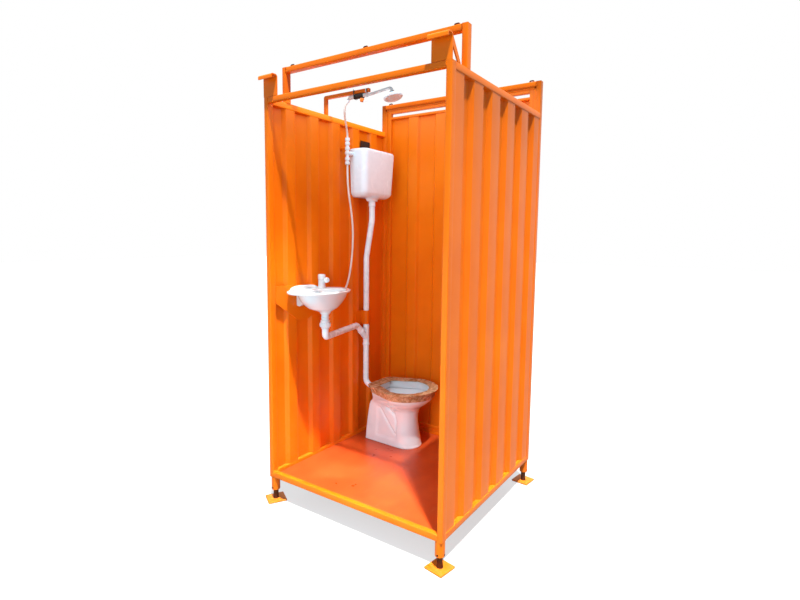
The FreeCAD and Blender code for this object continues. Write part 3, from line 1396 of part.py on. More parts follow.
def rivets():
    """Rivet heads on the basin plate and the pipe strap, and screw heads at the back of the cistern."""
    ribs = [f"depth/2 + rib_pitch*({index} - (wall_ribs - 1)/2)" for index in range(int(value("wall_ribs")))]
    strap_x = f"{WALL_LINE} + strap_thickness"
    strap_left = f"toilet_y - strap_left + rivet_margin"
    strap_right = f"toilet_y + strap_right - rivet_margin"
    tank_x = f"{WALL_LINE} + bracket_thickness + tank_wall"
    tank_z = "cistern_bottom + tank_height - bracket_drop - bracket_bar_height/2"
    places = [(tank_x, rib, tank_z) for rib in ribs[-2:]]
    for level in ("plate_drop - 2*rivet_margin", "plate_drop + 2*rivet_margin"):
        places += [(f"{WALL_LINE} + plate_thickness", rib, f"plate_top - ({level})") for rib in ribs[:2]]
    for level in ("rivet_margin", "strap_height - rivet_margin"):
        places += [(strap_x, y, f"strap_low + {level}") for y in (strap_left, strap_right)]
    heads = []
    for index, (x, y, z) in enumerate(places):
        heads.append(rod(f"rivet_{index}", x, y, f"{BASE} + {z}", "rivet_radius", "rivet_height", "x"))
    keep(group("rivet_heads", heads), "fixing_rivets")


frame()
lashing_rings()
walls_and_floor()
coupling_hooks()
legs()
door()
toilet()
cistern()
drain_pipes()
basin()
tap()
supply()
shower()
rivets()
doc.recompute()

# Every object has to be sound before anything is written
for item in doc.Objects:
    if "Invalid" in item.State or "Error" in item.State:
        raise RuntimeError(f"{item.Name} failed: {item.State}")
for item in PARTS:
    if item.Shape.isNull() or not item.Shape.isValid() or not item.Shape.Solids:
        raise RuntimeError(f"{item.Label} has no valid shape")
os.makedirs("parts", exist_ok=True)
for item in PARTS:
    item.Shape.exportStep(os.path.join("parts", item.Label + ".step"))
print(len(PARTS), "sub-parts written")
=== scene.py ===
"""The sanitary container dressed for the camera.

Its finishes are enamelled steel, white ceramic, moulded plastic and packing paper. Shapes are written in
cabin millimetres: x to the right, y to the rear and z up from the underside of the base frame, measured
from the front left corner post.
"""
import math

import bmesh
import bpy
from mathutils import Matrix, Vector, noise


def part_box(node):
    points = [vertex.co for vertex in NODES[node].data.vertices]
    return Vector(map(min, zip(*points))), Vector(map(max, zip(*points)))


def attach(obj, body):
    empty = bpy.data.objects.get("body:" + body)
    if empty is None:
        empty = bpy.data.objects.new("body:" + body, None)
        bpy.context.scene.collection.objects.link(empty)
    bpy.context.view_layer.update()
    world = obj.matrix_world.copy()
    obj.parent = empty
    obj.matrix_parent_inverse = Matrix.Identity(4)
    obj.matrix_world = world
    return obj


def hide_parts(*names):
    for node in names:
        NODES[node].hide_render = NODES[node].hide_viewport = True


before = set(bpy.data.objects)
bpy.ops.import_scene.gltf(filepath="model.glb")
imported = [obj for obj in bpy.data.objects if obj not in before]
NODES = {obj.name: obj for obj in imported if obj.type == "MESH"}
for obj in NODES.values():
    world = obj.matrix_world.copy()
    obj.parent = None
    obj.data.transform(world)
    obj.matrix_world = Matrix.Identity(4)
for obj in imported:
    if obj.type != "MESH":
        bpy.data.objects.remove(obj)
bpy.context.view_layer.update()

MM = 0.001
ORIGIN = Vector(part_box("corner_posts")[0])


def at(x, y, z):
    """A cabin point as a point of the frame in metres."""
    return ORIGIN + Vector((x, y, z))*MM


def extent(node):
    """A node's low and high corners in cabin millimetres."""
    return [(Vector(corner) - ORIGIN)/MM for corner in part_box(node)]


# Cabin sizes, read from the frame
WIDTH, DEPTH, REAR_HEIGHT = extent("corner_posts")[1]
WALL_HEIGHT = extent("side_top_rails")[1].z
RAIL = extent("side_bottom_rails")[1].z
FACE = extent("front_header")[0].x
HEADER_LOW = extent("front_header")[0].z
POST_DEPTH = extent("side_bottom_rails")[0].y
POST_REAR = extent("rear_top_beam")[0].y
HOOP_FRONT = extent("roof_hoop")[0].y
HOOP_TOP = extent("roof_hoop")[1].z
REAR_BEAM_LOW = extent("rear_top_beam")[0].z
LEAF_LOW, LEAF_HIGH = extent("door_stiles")
STILE = extent("door_rails")[0].x - LEAF_LOW.x
FLOOR = extent("floor_plate")[1].z


# Shader helpers

def linear(code):
    """An sRGB hex colour as linear RGBA."""
    parts = [int(code[i:i + 2], 16)/255 for i in (0, 2, 4)]
    return [c/12.92 if c <= 0.04045 else ((c + 0.055)/1.055)**2.4 for c in parts] + [1.0]


def add(tree, kind, settings=None, links=None):
    """Add a shader node with its settings and its incoming links."""
    node = tree.nodes.new("ShaderNode" + kind)
    for key, value in (settings or {}).items():
        if key == "ramp":
            for stop, (position, colour) in zip(node.color_ramp.elements, value):
                stop.position = position
                stop.color = linear(colour)
        elif isinstance(key, str) and hasattr(node, key):
            setattr(node, key, value)
        else:
            node.inputs[key].default_value = value
    for key, socket in (links or {}).items():
        tree.links.new(socket, node.inputs[key])
    return node


def surface(name, **settings):
    """A new material, its tree, its shader with constant settings, and its object coordinates."""
    material = bpy.data.materials.new(name)
    material.use_nodes = True
    tree = material.node_tree
    shader = tree.nodes["Principled BSDF"]
    for key, value in settings.items():
        shader.inputs[key.replace("_", " ")].default_value = value
    place = add(tree, "TexCoord").outputs["Object"]
    return material, tree, shader, place


def feed(tree, shader, **sockets):
    """Link outputs to the shader's inputs of those names."""
    for key, socket in sockets.items():
        tree.links.new(socket, shader.inputs[key.replace("_", " ")])


# Finishes

def sprayed_enamel(name, colour, shade, roughness, dust, peel=0.08):
    """Gloss enamel sprayed on steel: orange-peel ripple, slow tone changes, dust low down, small chips."""
    material, tree, shader, place = surface(name, IOR=1.5, Specular_IOR_Level=0.2)
    patches = add(tree, "TexNoise", {"Scale": 1/(380*MM), "Detail": 3.0, "Roughness": 0.55},
                  {"Vector": place})
    tone = add(tree, "ValToRGB", {"ramp": ((0.36, shade), (0.66, colour))},
               {"Fac": patches.outputs["Fac"]})
    height = add(tree, "SeparateXYZ", None, {"Vector": place})
    low = add(tree, "MapRange", {"From Min": 0.1, "From Max": 0.65, "To Min": dust, "To Max": dust*0.12},
              {"Value": height.outputs["Z"]})
    specks = add(tree, "TexNoise", {"Scale": 1/(16*MM), "Detail": 6.0, "Roughness": 0.72},
                 {"Vector": place})
    speckled = add(tree, "MapRange", {"From Min": 0.42, "From Max": 0.75}, {"Value": specks.outputs["Fac"]})
    film = add(tree, "Math", {"operation": "MULTIPLY"},
               {0: low.outputs["Result"], 1: speckled.outputs["Result"]})
    dusty = add(tree, "Mix", {"data_type": "RGBA", 7: linear("C39A72")},
                {0: film.outputs["Value"], 6: tone.outputs["Color"]})
    # A paint chip is 2 to 4 mm across and bares the brown primer
    chips = add(tree, "TexVoronoi", {"Scale": 1/(38*MM), "Randomness": 1.0}, {"Vector": place})
    chip = add(tree, "MapRange", {"From Min": 0.03, "From Max": 0.05, "To Min": 0.55, "To Max": 0.0},
               {"Value": chips.outputs["Distance"]})
    chosen = add(tree, "Math", {"operation": "GREATER_THAN", 1: 0.88}, {0: chips.outputs["Color"]})
    bare = add(tree, "Math", {"operation": "MULTIPLY"},
               {0: chip.outputs["Result"], 1: chosen.outputs["Value"]})
    chipped = add(tree, "Mix", {"data_type": "RGBA", 7: linear("6B2E12")},
                  {0: bare.outputs["Value"], 6: dusty.outputs[2]})
    # Orange peel is about 2 mm wide; drawn at 6 mm so that it shows at this distance
    ripple = add(tree, "TexNoise", {"Scale": 1/(6*MM), "Detail": 1.0}, {"Vector": place})
    sag = add(tree, "TexNoise", {"Scale": 1/(90*MM), "Detail": 1.0}, {"Vector": place})
    rise = add(tree, "Math", {"operation": "MULTIPLY_ADD", 1: 6.0},
               {0: sag.outputs["Fac"], 2: ripple.outputs["Fac"]})
    bump = add(tree, "Bump", {"Strength": peel, "Distance": 0.6*MM}, {"Height": rise.outputs["Value"]})
    worn = add(tree, "Math", {"operation": "MULTIPLY_ADD", 1: 0.45, 2: roughness},
               {0: film.outputs["Value"]})
    feed(tree, shader, Base_Color=chipped.outputs[2], Normal=bump.outputs["Normal"],
         Roughness=worn.outputs["Value"])
    return material


def trodden_enamel():
    """Brushed deck enamel on steel plate: satin, redder than the walls, with pale shoe scuffs."""
    material, tree, shader, place = surface("deck_enamel_brushed_steel", IOR=1.5)
    patches = add(tree, "TexNoise", {"Scale": 1/(220*MM), "Detail": 5.0, "Roughness": 0.6},
                  {"Vector": place})
    tone = add(tree, "ValToRGB", {"ramp": ((0.32, "BD4319"), (0.7, "D65924"))},
               {"Fac": patches.outputs["Fac"]})
    long_way = add(tree, "Mapping", {"Scale": (1/(9*MM), 1/(150*MM), 1.0)}, {"Vector": place})
    strokes = add(tree, "TexNoise", {"Scale": 1.0, "Detail": 4.0, "Roughness": 0.6},
                  {"Vector": long_way.outputs["Vector"]})
    scuff = add(tree, "MapRange", {"From Min": 0.6, "From Max": 0.8, "To Min": 0.0, "To Max": 0.3},
                {"Value": strokes.outputs["Fac"]})
    scuffed = add(tree, "Mix", {"data_type": "RGBA", 7: linear("E88A5C")},
                  {0: scuff.outputs["Result"], 6: tone.outputs["Color"]})
    gloss = add(tree, "MapRange", {"From Min": 0.3, "From Max": 0.75, "To Min": 0.24, "To Max": 0.48},
                {"Value": patches.outputs["Fac"]})
    bump = add(tree, "Bump", {"Strength": 0.12, "Distance": 0.3*MM}, {"Height": strokes.outputs["Fac"]})
    feed(tree, shader, Base_Color=scuffed.outputs[2], Roughness=gloss.outputs["Result"],
         Normal=bump.outputs["Normal"])
    return material


def vitreous_china():
    """Fired clay under thick clear glaze: soft white body, mirror gloss, a trace of waviness, pin specks."""
    material, tree, shader, place = surface("vitreous_china_glazed", IOR=1.52, Roughness=0.12,
                                            Coat_Weight=0.6, Coat_Roughness=0.03)
    patches = add(tree, "TexNoise", {"Scale": 1/(140*MM), "Detail": 2.0}, {"Vector": place})
    tone = add(tree, "ValToRGB", {"ramp": ((0.3, "DFE8EC"), (0.7, "E9F1F4"))},
               {"Fac": patches.outputs["Fac"]})
    pins = add(tree, "TexVoronoi", {"Scale": 1/(22*MM)}, {"Vector": place})
    pin = add(tree, "MapRange", {"From Min": 0.02, "From Max": 0.04, "To Min": 0.2, "To Max": 0.0},
              {"Value": pins.outputs["Distance"]})
    pinned = add(tree, "Mix", {"data_type": "RGBA", 7: linear("B9AFA6")},
                 {0: pin.outputs["Result"], 6: tone.outputs["Color"]})
    swell = add(tree, "TexNoise", {"Scale": 1/(35*MM), "Detail": 1.0}, {"Vector": place})
    bump = add(tree, "Bump", {"Strength": 0.08, "Distance": 0.8*MM}, {"Height": swell.outputs["Fac"]})
    feed(tree, shader, Base_Color=pinned.outputs[2], Normal=bump.outputs["Normal"])
    return material


def moulded(name, colour, shade, roughness, grain, relief):
    """Moulded plastic: even colour with faint flow marks, dulled in places, over a fine skin texture."""
    material, tree, shader, place = surface(name, IOR=1.49)
    flow = add(tree, "TexNoise", {"Scale": 1/(70*MM), "Detail": 3.0, "Distortion": 1.2}, {"Vector": place})
    tone = add(tree, "ValToRGB", {"ramp": ((0.3, shade), (0.68, colour))}, {"Fac": flow.outputs["Fac"]})
    dulled = add(tree, "MapRange", {"From Min": 0.3, "From Max": 0.7, "To Min": roughness*0.8,
                                    "To Max": roughness*1.3}, {"Value": flow.outputs["Fac"]})
    pebble = add(tree, "TexNoise", {"Scale": 1/(grain*MM), "Detail": 2.0}, {"Vector": place})
    bump = add(tree, "Bump", {"Strength": relief, "Distance": 0.3*MM}, {"Height": pebble.outputs["Fac"]})
    feed(tree, shader, Base_Color=tone.outputs["Color"], Roughness=dulled.outputs["Result"],
         Normal=bump.outputs["Normal"])
    return material


def kraft_paper():
    """Brown kraft paper creased round the rim: pale fibres, painted shade along the creases, shiny strips of
    clear tape.
    """
    material, tree, shader, place = surface("kraft_paper_creased", IOR=1.45)
    fibres = add(tree, "TexNoise", {"Scale": 1/(5*MM), "Detail": 6.0, "Roughness": 0.75}, {"Vector": place})
    crease = add(tree, "TexVoronoi", {"Scale": 1/(36*MM), "feature": "DISTANCE_TO_EDGE"}, {"Vector": place})
    patches = add(tree, "TexNoise", {"Scale": 1/(42*MM), "Detail": 4.0, "Distortion": 1.5},
                  {"Vector": place})
    tone = add(tree, "ValToRGB", {"ramp": ((0.33, "9C7446"), (0.68, "DCBC94"))},
               {"Fac": patches.outputs["Fac"]})
    flecks = add(tree, "MapRange", {"From Min": 0.5, "From Max": 0.8, "To Min": 0.0, "To Max": 0.4},
                 {"Value": fibres.outputs["Fac"]})
    flecked = add(tree, "Mix", {"data_type": "RGBA", 7: linear("E0B58C")},
                  {0: flecks.outputs["Result"], 6: tone.outputs["Color"]})
    # Painted shade: the paper is darkened along the crease lines, where the bump sinks into valleys
    edge = add(tree, "MapRange", {"From Min": 0.0, "From Max": 0.05, "To Min": 0.5, "To Max": 0.0},
               {"Value": crease.outputs["Distance"]})
    crease_shaded_tone = add(tree, "Mix", {"data_type": "RGBA", 7: linear("6A3818")},
                      {0: edge.outputs["Result"], 6: flecked.outputs[2]})
    # Packing tape lies in strips about 45 mm wide
    strips = add(tree, "TexWave", {"Scale": 1/(300*MM), "Distortion": 6.0, "Detail": 2.0},
                 {"Vector": place})
    taped = add(tree, "MapRange", {"From Min": 0.55, "From Max": 0.62, "To Min": 0.75, "To Max": 0.16},
                {"Value": strips.outputs["Fac"]})
    rise = add(tree, "Math", {"operation": "MULTIPLY_ADD", 1: 3.0},
               {0: crease.outputs["Distance"], 2: fibres.outputs["Fac"]})
    bump = add(tree, "Bump", {"Strength": 0.5, "Distance": 1.2*MM}, {"Height": rise.outputs["Value"]})
    feed(tree, shader, Base_Color=crease_shaded_tone.outputs[2], Roughness=taped.outputs["Result"],
         Normal=bump.outputs["Normal"])
    return material


def greased_steel(name, colour, shade, rust):
    """Drawn steel bar, greased and rusting: dull metal with brown bloom and fine lines along the draw."""
    material, tree, shader, place = surface(name, Metallic=0.9)
    bloom = add(tree, "TexNoise", {"Scale": 1/(24*MM), "Detail": 6.0, "Roughness": 0.7}, {"Vector": place})
    tone = add(tree, "ValToRGB", {"ramp": ((0.4, colour), (0.62, shade))}, {"Fac": bloom.outputs["Fac"]})
    spread = add(tree, "MapRange", {"From Min": 0.4, "From Max": 0.6, "To Min": 0.0, "To Max": rust},
                 {"Value": bloom.outputs["Fac"]})
    rusty = add(tree, "Mix", {"data_type": "RGBA", 7: linear("6E3415")},
                {0: spread.outputs["Result"], 6: tone.outputs["Color"]})
    rough = add(tree, "MapRange", {"From Min": 0.35, "From Max": 0.65, "To Min": 0.32, "To Max": 0.75},
                {"Value": bloom.outputs["Fac"]})
    stretched = add(tree, "Mapping", {"Scale": (1/(1.5*MM), 1/(1.5*MM), 1/(40*MM))}, {"Vector": place})
    lines = add(tree, "TexNoise", {"Scale": 1.0, "Detail": 2.0}, {"Vector": stretched.outputs["Vector"]})
    bump = add(tree, "Bump", {"Strength": 0.2, "Distance": 0.2*MM}, {"Height": lines.outputs["Fac"]})
    feed(tree, shader, Base_Color=rusty.outputs[2], Roughness=rough.outputs["Result"],
         Normal=bump.outputs["Normal"])
    return material


ENAMEL = sprayed_enamel("orange_enamel_sprayed_steel", "EF770D", "E66D09", 0.3, 0.1)
DECK = trodden_enamel()
FOOT_PAINT = sprayed_enamel("foot_enamel_brushed_steel", "EE7F14", "E2730A", 0.42, 0.3, 0.2)
CHINA = vitreous_china()
PVC = moulded("white_pvc_extruded", "E6EDF1", "DDE6EB", 0.26, 9, 0.05)
ABS = moulded("white_abs_moulded", "E6EDF1", "DEE6EB", 0.22, 5, 0.05)
HOSE_PVC = moulded("white_pvc_hose_extruded", "EFE8E0", "E4DCD2", 0.34, 4, 0.08)
BLACK = moulded("black_polypropylene_moulded", "242120", "161414", 0.42, 2.5, 0.2)
NYLON = moulded("black_nylon_tie_moulded", "1C1A1A", "121111", 0.35, 1.5, 0.15)
LEVER_PLASTIC = moulded("orange_abs_moulded", "E8761A", "D9640F", 0.3, 3, 0.08)
KRAFT = kraft_paper()
STEM_STEEL = greased_steel("leg_bar_drawn_steel", "54402E", "2E2117", 0.7)
ZINC = greased_steel("zinc_plated_steel", "A8A39C", "8C877F", 0.15)
RING_STEEL = greased_steel("lashing_rod_bent_steel", "4A2C1C", "331D12", 0.6)


# Mesh helpers

def skin(rings, wrap=False, caps=True):
    """Quads between rings of equal length; wrap joins the last ring to the first, caps close both ends."""
    count = len(rings[0])
    verts = [tuple(point) for ring in rings for point in ring]
    faces = []
    for row in range(len(rings) - (0 if wrap else 1)):
        low = row*count
        high = (row + 1) % len(rings)*count
        for i in range(count):
            j = (i + 1) % count
            faces.append((low + i, low + j, high + j, high + i))
    if caps and not wrap:
        faces.append(tuple(range(count)))
        faces.append(tuple(range(len(verts) - count, len(verts))))
    return verts, faces


def joined(*shapes):
    """Several shapes as one."""
    verts = []
    faces = []
    for more_verts, more_faces in shapes:
        base = len(verts)
        verts += more_verts
        faces += [tuple(base + i for i in face) for face in more_faces]
    return verts, faces


def piece(name, shape, finish, body="cabin", nodes=(), sharp=38):
    """A mesh piece that rides on a body, with a finish, in place of the nodes that it stands for."""
    verts, faces = shape
    mesh = bpy.data.meshes.new(name)
    mesh.from_pydata([at(*point) for point in verts], [], faces)
    shell = bmesh.new()
    shell.from_mesh(mesh)
    bmesh.ops.recalc_face_normals(shell, faces=shell.faces)
    shell.to_mesh(mesh)
    shell.free()
    mesh.polygons.foreach_set("use_smooth", [True]*len(mesh.polygons))
    mesh.set_sharp_from_angle(angle=math.radians(sharp))
    mesh.materials.append(finish)
    item = bpy.data.objects.new(name, mesh)
    bpy.context.scene.collection.objects.link(item)
    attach(item, body)
    if nodes:
        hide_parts(*nodes)
    return item


def soften(line, radius, steps=4):
    """A line with its inner corners rounded to a radius, or as far as their edges allow."""
    line = [Vector(point) for point in line]
    result = [line[0]]
    for before, corner, after in zip(line, line[1:], line[2:]):
        come = (corner - before).normalized()
        leave = (after - corner).normalized()
        half_turn = come.angle(leave, 0)/2
        if half_turn < 0.01:
            result.append(corner)
            continue
        room = 0.48*min((corner - before).length, (after - corner).length)
        back = min(radius*math.tan(half_turn), room)
        bend = back/math.tan(half_turn)
        middle = corner + (leave - come).normalized()*(bend/math.cos(half_turn))
        for step in range(steps + 1):
            share = step/steps
            arm = (corner - come*back - middle).lerp(corner + leave*back - middle, share)
            result.append(middle + arm.normalized()*bend)
    return result + [line[-1]]


def lathe(profile, origin, direction=(0, 0, 1), steps=40, flutes=0):
    """A turned shape from (radius, height) rows; a third number in a row is the depth of its flutes."""
    turn = Vector(direction).to_track_quat("Z", "Y")
    rings = []
    for row in profile:
        depth = row[2] if len(row) > 2 else 0.0
        ring = []
        for index in range(steps):
            angle = 2*math.pi*index/steps
            radius = row[0] - depth*(0.5 - 0.5*math.cos(flutes*angle))
            arm = Vector((radius*math.cos(angle), radius*math.sin(angle), row[1]))
            ring.append(Vector(origin) + turn @ arm)
        rings.append(ring)
    return skin(rings)


def rounded_box(low, high, radius, steps=3):
    """A box with all its edges rounded."""
    turns = [math.pi/2*i/steps for i in range(steps + 1)]
    rows = [(radius*(1 - math.sin(turn)), low[2] + radius*(1 - math.cos(turn))) for turn in turns]
    rows += [(inset, low[2] + high[2] - z) for inset, z in reversed(rows)]
    rings = []
    for inset, z in rows:
        plan = round_rectangle(low[0] + inset, low[1] + inset, high[0] - inset, high[1] - inset,
                               max(radius - inset, 0.2), steps)
        rings.append([(x, y, z) for x, y in plan])
    return skin(rings)


def round_rectangle(left, near, right, far, radius, steps=4):
    """Corner points of a rectangle with rounded corners, in order round it."""
    points = []
    for x, y, start in ((right - radius, far - radius, 0), (left + radius, far - radius, 1),
                        (left + radius, near + radius, 2), (right - radius, near + radius, 3)):
        for step in range(steps + 1):
            angle = math.pi/2*(start + step/steps)
            points.append((x + radius*math.cos(angle), y + radius*math.sin(angle)))
    return points


def folded(line, thickness, levels, place, wave=None):
    """Bent sheet: a centre line given its thickness and drawn out over a row of levels."""
    line = [Vector(point) for point in line]
    sides = []
    for index, point in enumerate(line):
        along = line[min(index + 1, len(line) - 1)] - line[max(index - 1, 0)]
        sides.append(Vector((-along.y, along.x)).normalized()*(thickness/2))
    ring = [point + side for point, side in zip(line, sides)]
    ring += [point - side for point, side in zip(reversed(line), reversed(sides))]
    rings = []
    for level in levels:
        sway = [wave(point, level) if wave else 0.0 for point in ring]
        rings.append([place(point.x, point.y + shift, level) for point, shift in zip(ring, sway)])
    verts, faces = skin(rings, caps=False)
    last = len(ring) - 1
    for base in (0, len(verts) - len(ring)):
        for i in range(len(line) - 1):
            faces.append((base + i, base + i + 1, base + last - i - 1, base + last - i))
    return verts, faces


def rigid_pipe(corners, radius, bend, steps=32):
    """Rigid round pipe through corners that are bent to a radius."""
    line = soften(corners, bend, 8)
    side = None
    rings = []
    for index, point in enumerate(line):
        along = (line[min(index + 1, len(line) - 1)] - line[max(index - 1, 0)]).normalized()
        if side is None:
            side = along.orthogonal()
        side = (side - along*side.dot(along)).normalized()
        other = along.cross(side)
        ring = []
        for step in range(steps):
            angle = 2*math.pi*step/steps
            ring.append(point + side*(radius*math.cos(angle)) + other*(radius*math.sin(angle)))
        rings.append(ring)
    return skin(rings)


def band(x, wide, plan, centre, inner, outer):
    """A flat band along x round a plan in y and z, which is scaled about a centre for its two faces."""
    rings = []
    for step, scale in ((0, inner), (0, outer), (wide, outer), (wide, inner)):
        rings.append([(x + step, centre[0] + (u - centre[0])*scale, centre[1] + (v - centre[1])*scale)
                      for u, v in plan])
    return skin(rings, wrap=True)


# Frame

TUBE_WALL = 2.0
TUBE_CORNER = 4.0
BEAD = 3.2
BEAD_RIPPLE = 2.2
# Beads stay this far inside the cabin's sides
BEAD_INSET = 0.6


def tube(low, high, along):
    """Rectangular steel tube with drawn corners, open at both ends."""
    axis = "xyz".index(along)
    first, second = [i for i in range(3) if i != axis]
    rings = []
    for inset, radius, end in ((0, TUBE_CORNER, low), (0, TUBE_CORNER, high),
                               (TUBE_WALL, TUBE_CORNER/2, high), (TUBE_WALL, TUBE_CORNER/2, low)):
        plan = round_rectangle(low[first] + inset, low[second] + inset, high[first] - inset,
                               high[second] - inset, radius)
        ring = []
        for u, v in plan:
            point = [0.0, 0.0, 0.0]
            point[axis] = end[axis]
            point[first] = u
            point[second] = v
            ring.append(point)
        rings.append(ring)
    return skin(rings, wrap=True)


def bead(start, end):
    """A weld bead: overlapping ripples along a joint, thinning out at its ends."""
    start = Vector(start)
    run = Vector(end) - start
    turn = run.to_track_quat("Z", "Y")
    count = max(4, int(run.length/BEAD_RIPPLE))
    rings = []
    for row in range(count + 1):
        share = row/count
        swell = 0.55 + 0.45*min(1.0, 8*share, 8*(1 - share))
        radius = BEAD*swell*(1 + 0.14*math.cos(math.pi*row))
        ring = [Vector((radius*math.cos(a), radius*math.sin(a), share*run.length))
                for a in (2*math.pi*i/8 for i in range(8))]
        rings.append([start + turn @ point for point in ring])
    return skin(rings)


def frame_tubes():
    """Posts, rails, sills, header, rear beam and roof hoop, with the weld beads where they meet."""
    right = WIDTH - FACE
    posts = []
    for x in (0, right):
        posts.append(tube((x, 0, 0), (x + FACE, POST_DEPTH, WALL_HEIGHT), "z"))
        posts.append(tube((x, POST_REAR, 0), (x + FACE, DEPTH, REAR_HEIGHT), "z"))
    rails = {"side_bottom_rails": (0, RAIL), "side_top_rails": (WALL_HEIGHT - RAIL, WALL_HEIGHT)}
    hoop_low = HOOP_TOP - FACE
    hoop_back = HOOP_FRONT + POST_DEPTH
    hoop = [tube((x, HOOP_FRONT, WALL_HEIGHT), (x + FACE, hoop_back, HOOP_TOP), "z") for x in (0, right)]
    hoop.append(tube((FACE, HOOP_FRONT, hoop_low), (right, hoop_back, HOOP_TOP), "x"))
    made = {
        "corner_posts": joined(*posts),
        "cross_sills": joined(tube((FACE, 0, 0), (right, FACE, RAIL), "x"),
                              tube((FACE, POST_REAR, 0), (right, DEPTH, RAIL), "x")),
        "front_header": tube((FACE, 0, HEADER_LOW), (right, FACE, WALL_HEIGHT), "x"),
        "rear_top_beam": tube((FACE, POST_REAR, REAR_BEAM_LOW), (right, DEPTH, REAR_HEIGHT), "x"),
        "roof_hoop": joined(*hoop),
    }
    for node, (low, high) in rails.items():
        pair = [tube((x, POST_DEPTH, low), (x + FACE, POST_REAR, high), "y") for x in (0, right)]
        made[node] = joined(*pair)
    for node, shape in made.items():
        piece(f"{node}_tube", shape, ENAMEL, nodes=[node])
    weld_beads(right, rails.values(), hoop_low, hoop_back)


def weld_beads(right, rails, hoop_low, hoop_back):
    """Beads round the ends of the cross tubes, the side rails and the feet of the hoop."""
    beads = []
    crossings = ((0, FACE, 0, RAIL), (0, FACE, HEADER_LOW, WALL_HEIGHT), (POST_REAR, DEPTH, 0, RAIL),
                 (POST_REAR, DEPTH, REAR_BEAM_LOW, REAR_HEIGHT), (HOOP_FRONT, hoop_back, hoop_low, HOOP_TOP))
    for x in (FACE, right):
        for near, far, low, high in crossings:
            beads += [bead((x, y, low + BEAD), (x, y, high - BEAD)) for y in (near, far)]
            beads += [bead((x, near + BEAD, z), (x, far - BEAD, z)) for z in (low, high)]
    for x in (0, right):
        for y in (POST_DEPTH, POST_REAR):
            for low, high in rails:
                beads += [bead((side, y, low + BEAD), (side, y, high - BEAD)) for side in (x, x + FACE)]
                beads.append(bead((x + BEAD, y, high), (x + FACE - BEAD, y, high)))
        for y in (HOOP_FRONT, hoop_back):
            beads.append(bead((x + BEAD, y, WALL_HEIGHT), (x + FACE - BEAD, y, WALL_HEIGHT)))
        for side in (x, x + FACE):
            beads.append(bead((side, HOOP_FRONT + BEAD, WALL_HEIGHT), (side, hoop_back - BEAD, WALL_HEIGHT)))
    verts, faces = joined(*beads)
    inside = [(min(max(x, BEAD_INSET), WIDTH - BEAD_INSET), y, z) for x, y, z in verts]
    piece("weld_beads", (inside, faces), ENAMEL, sharp=60)


# Ribbed sheets

SHEET = 1.5
SHEET_BEND = 5.0
SHEET_ROWS = 30
SHEET_WAVE = 0.7
WALL_RIBS = {"count": 5, "pitch": 200, "mouth": 100, "flat": 68, "depth": 24}
DOOR_RIBS = {"count": 4, "pitch": 224, "mouth": 104, "flat": 76, "depth": 18}


def sheet_line(run, count, pitch, mouth, flat, depth):
    """Centre line of a ribbed sheet across its run, ribs evenly set about the middle."""
    line = [(0, SHEET/2)]
    for index in range(count):
        middle = run/2 + pitch*(index - (count - 1)/2)
        line += [(middle - mouth/2, SHEET/2), (middle - flat/2, depth + SHEET/2),
                 (middle + flat/2, depth + SHEET/2), (middle + mouth/2, SHEET/2)]
    line.append((run, SHEET/2))
    return soften(line, SHEET_BEND)


def ribbed_sheet(node, run, ribs, place, seed, body="cabin"):
    """Roll-formed sheet: ribs with rounded bends and the slight waviness of thin steel."""
    def sway(point, level):
        return SHEET_WAVE*noise.noise(Vector((point.x/260, level/420, seed)))

    low, high = extent(node)
    levels = [low.z + (high.z - low.z)*i/SHEET_ROWS for i in range(SHEET_ROWS + 1)]
    shape = folded(sheet_line(run, **ribs), SHEET, levels, place, sway)
    piece(f"{node}_ribbed", shape, ENAMEL, body, [node], sharp=50)


def sheets():
    """Side walls with their ribs turned inwards, and the door panel."""
    left = extent("left_wall_sheet")[0]
    right_low, right = extent("right_wall_sheet")
    run = right.y - right_low.y
    ribbed_sheet("left_wall_sheet", run, WALL_RIBS, lambda u, v, z: (left.x + v, left.y + u, z), 1.7)
    ribbed_sheet("right_wall_sheet", run, WALL_RIBS, lambda u, v, z: (right.x - v, left.y + u, z), 5.3)
    low, high = extent("door_panel")
    ribbed_sheet("door_panel", high.x - low.x, DOOR_RIBS, lambda u, v, z: (low.x + u, high.y - v, z), 9.1,
                 "door")


# Door

def door_frame():
    """Stiles and rails of the door leaf."""
    top_rail = 25
    vent_rail = 17
    rail_low, rail_high = extent("door_rails")
    stiles = [tube((x, LEAF_LOW.y, LEAF_LOW.z), (x + STILE, LEAF_HIGH.y, LEAF_HIGH.z), "z")
              for x in (LEAF_LOW.x, LEAF_HIGH.x - STILE)]
    piece("door_stiles_tube", joined(*stiles), ENAMEL, "door", ["door_stiles"])
    panel_low, panel_high = extent("door_panel")
    rows = ((rail_high.z - top_rail, rail_high.z), (panel_high.z, panel_high.z + vent_rail),
            (rail_low.z, panel_low.z))
    rails = [tube((rail_low.x, rail_low.y, low), (rail_high.x, rail_high.y, high), "x")
             for low, high in rows]
    piece("door_rails_tube", joined(*rails), ENAMEL, "door", ["door_rails"])


def door_stops():
    """Painted steel strips inside the rear frame, which the closed door rests against."""
    thick = 5.0
    lap = 12.0
    ease = 1.2
    gap = 1.0
    far = LEAF_LOW.y - gap
    near = far - thick
    right = WIDTH - FACE
    spans = ((FACE, RAIL, FACE + lap, REAR_BEAM_LOW), (right - lap, RAIL, right, REAR_BEAM_LOW),
             (FACE, RAIL, right, RAIL + lap), (FACE, REAR_BEAM_LOW - lap, right, REAR_BEAM_LOW))
    strips = [rounded_box((x, near, z), (end, far, top), ease) for x, z, end, top in spans]
    piece("door_stop_strips", joined(*strips), ENAMEL)


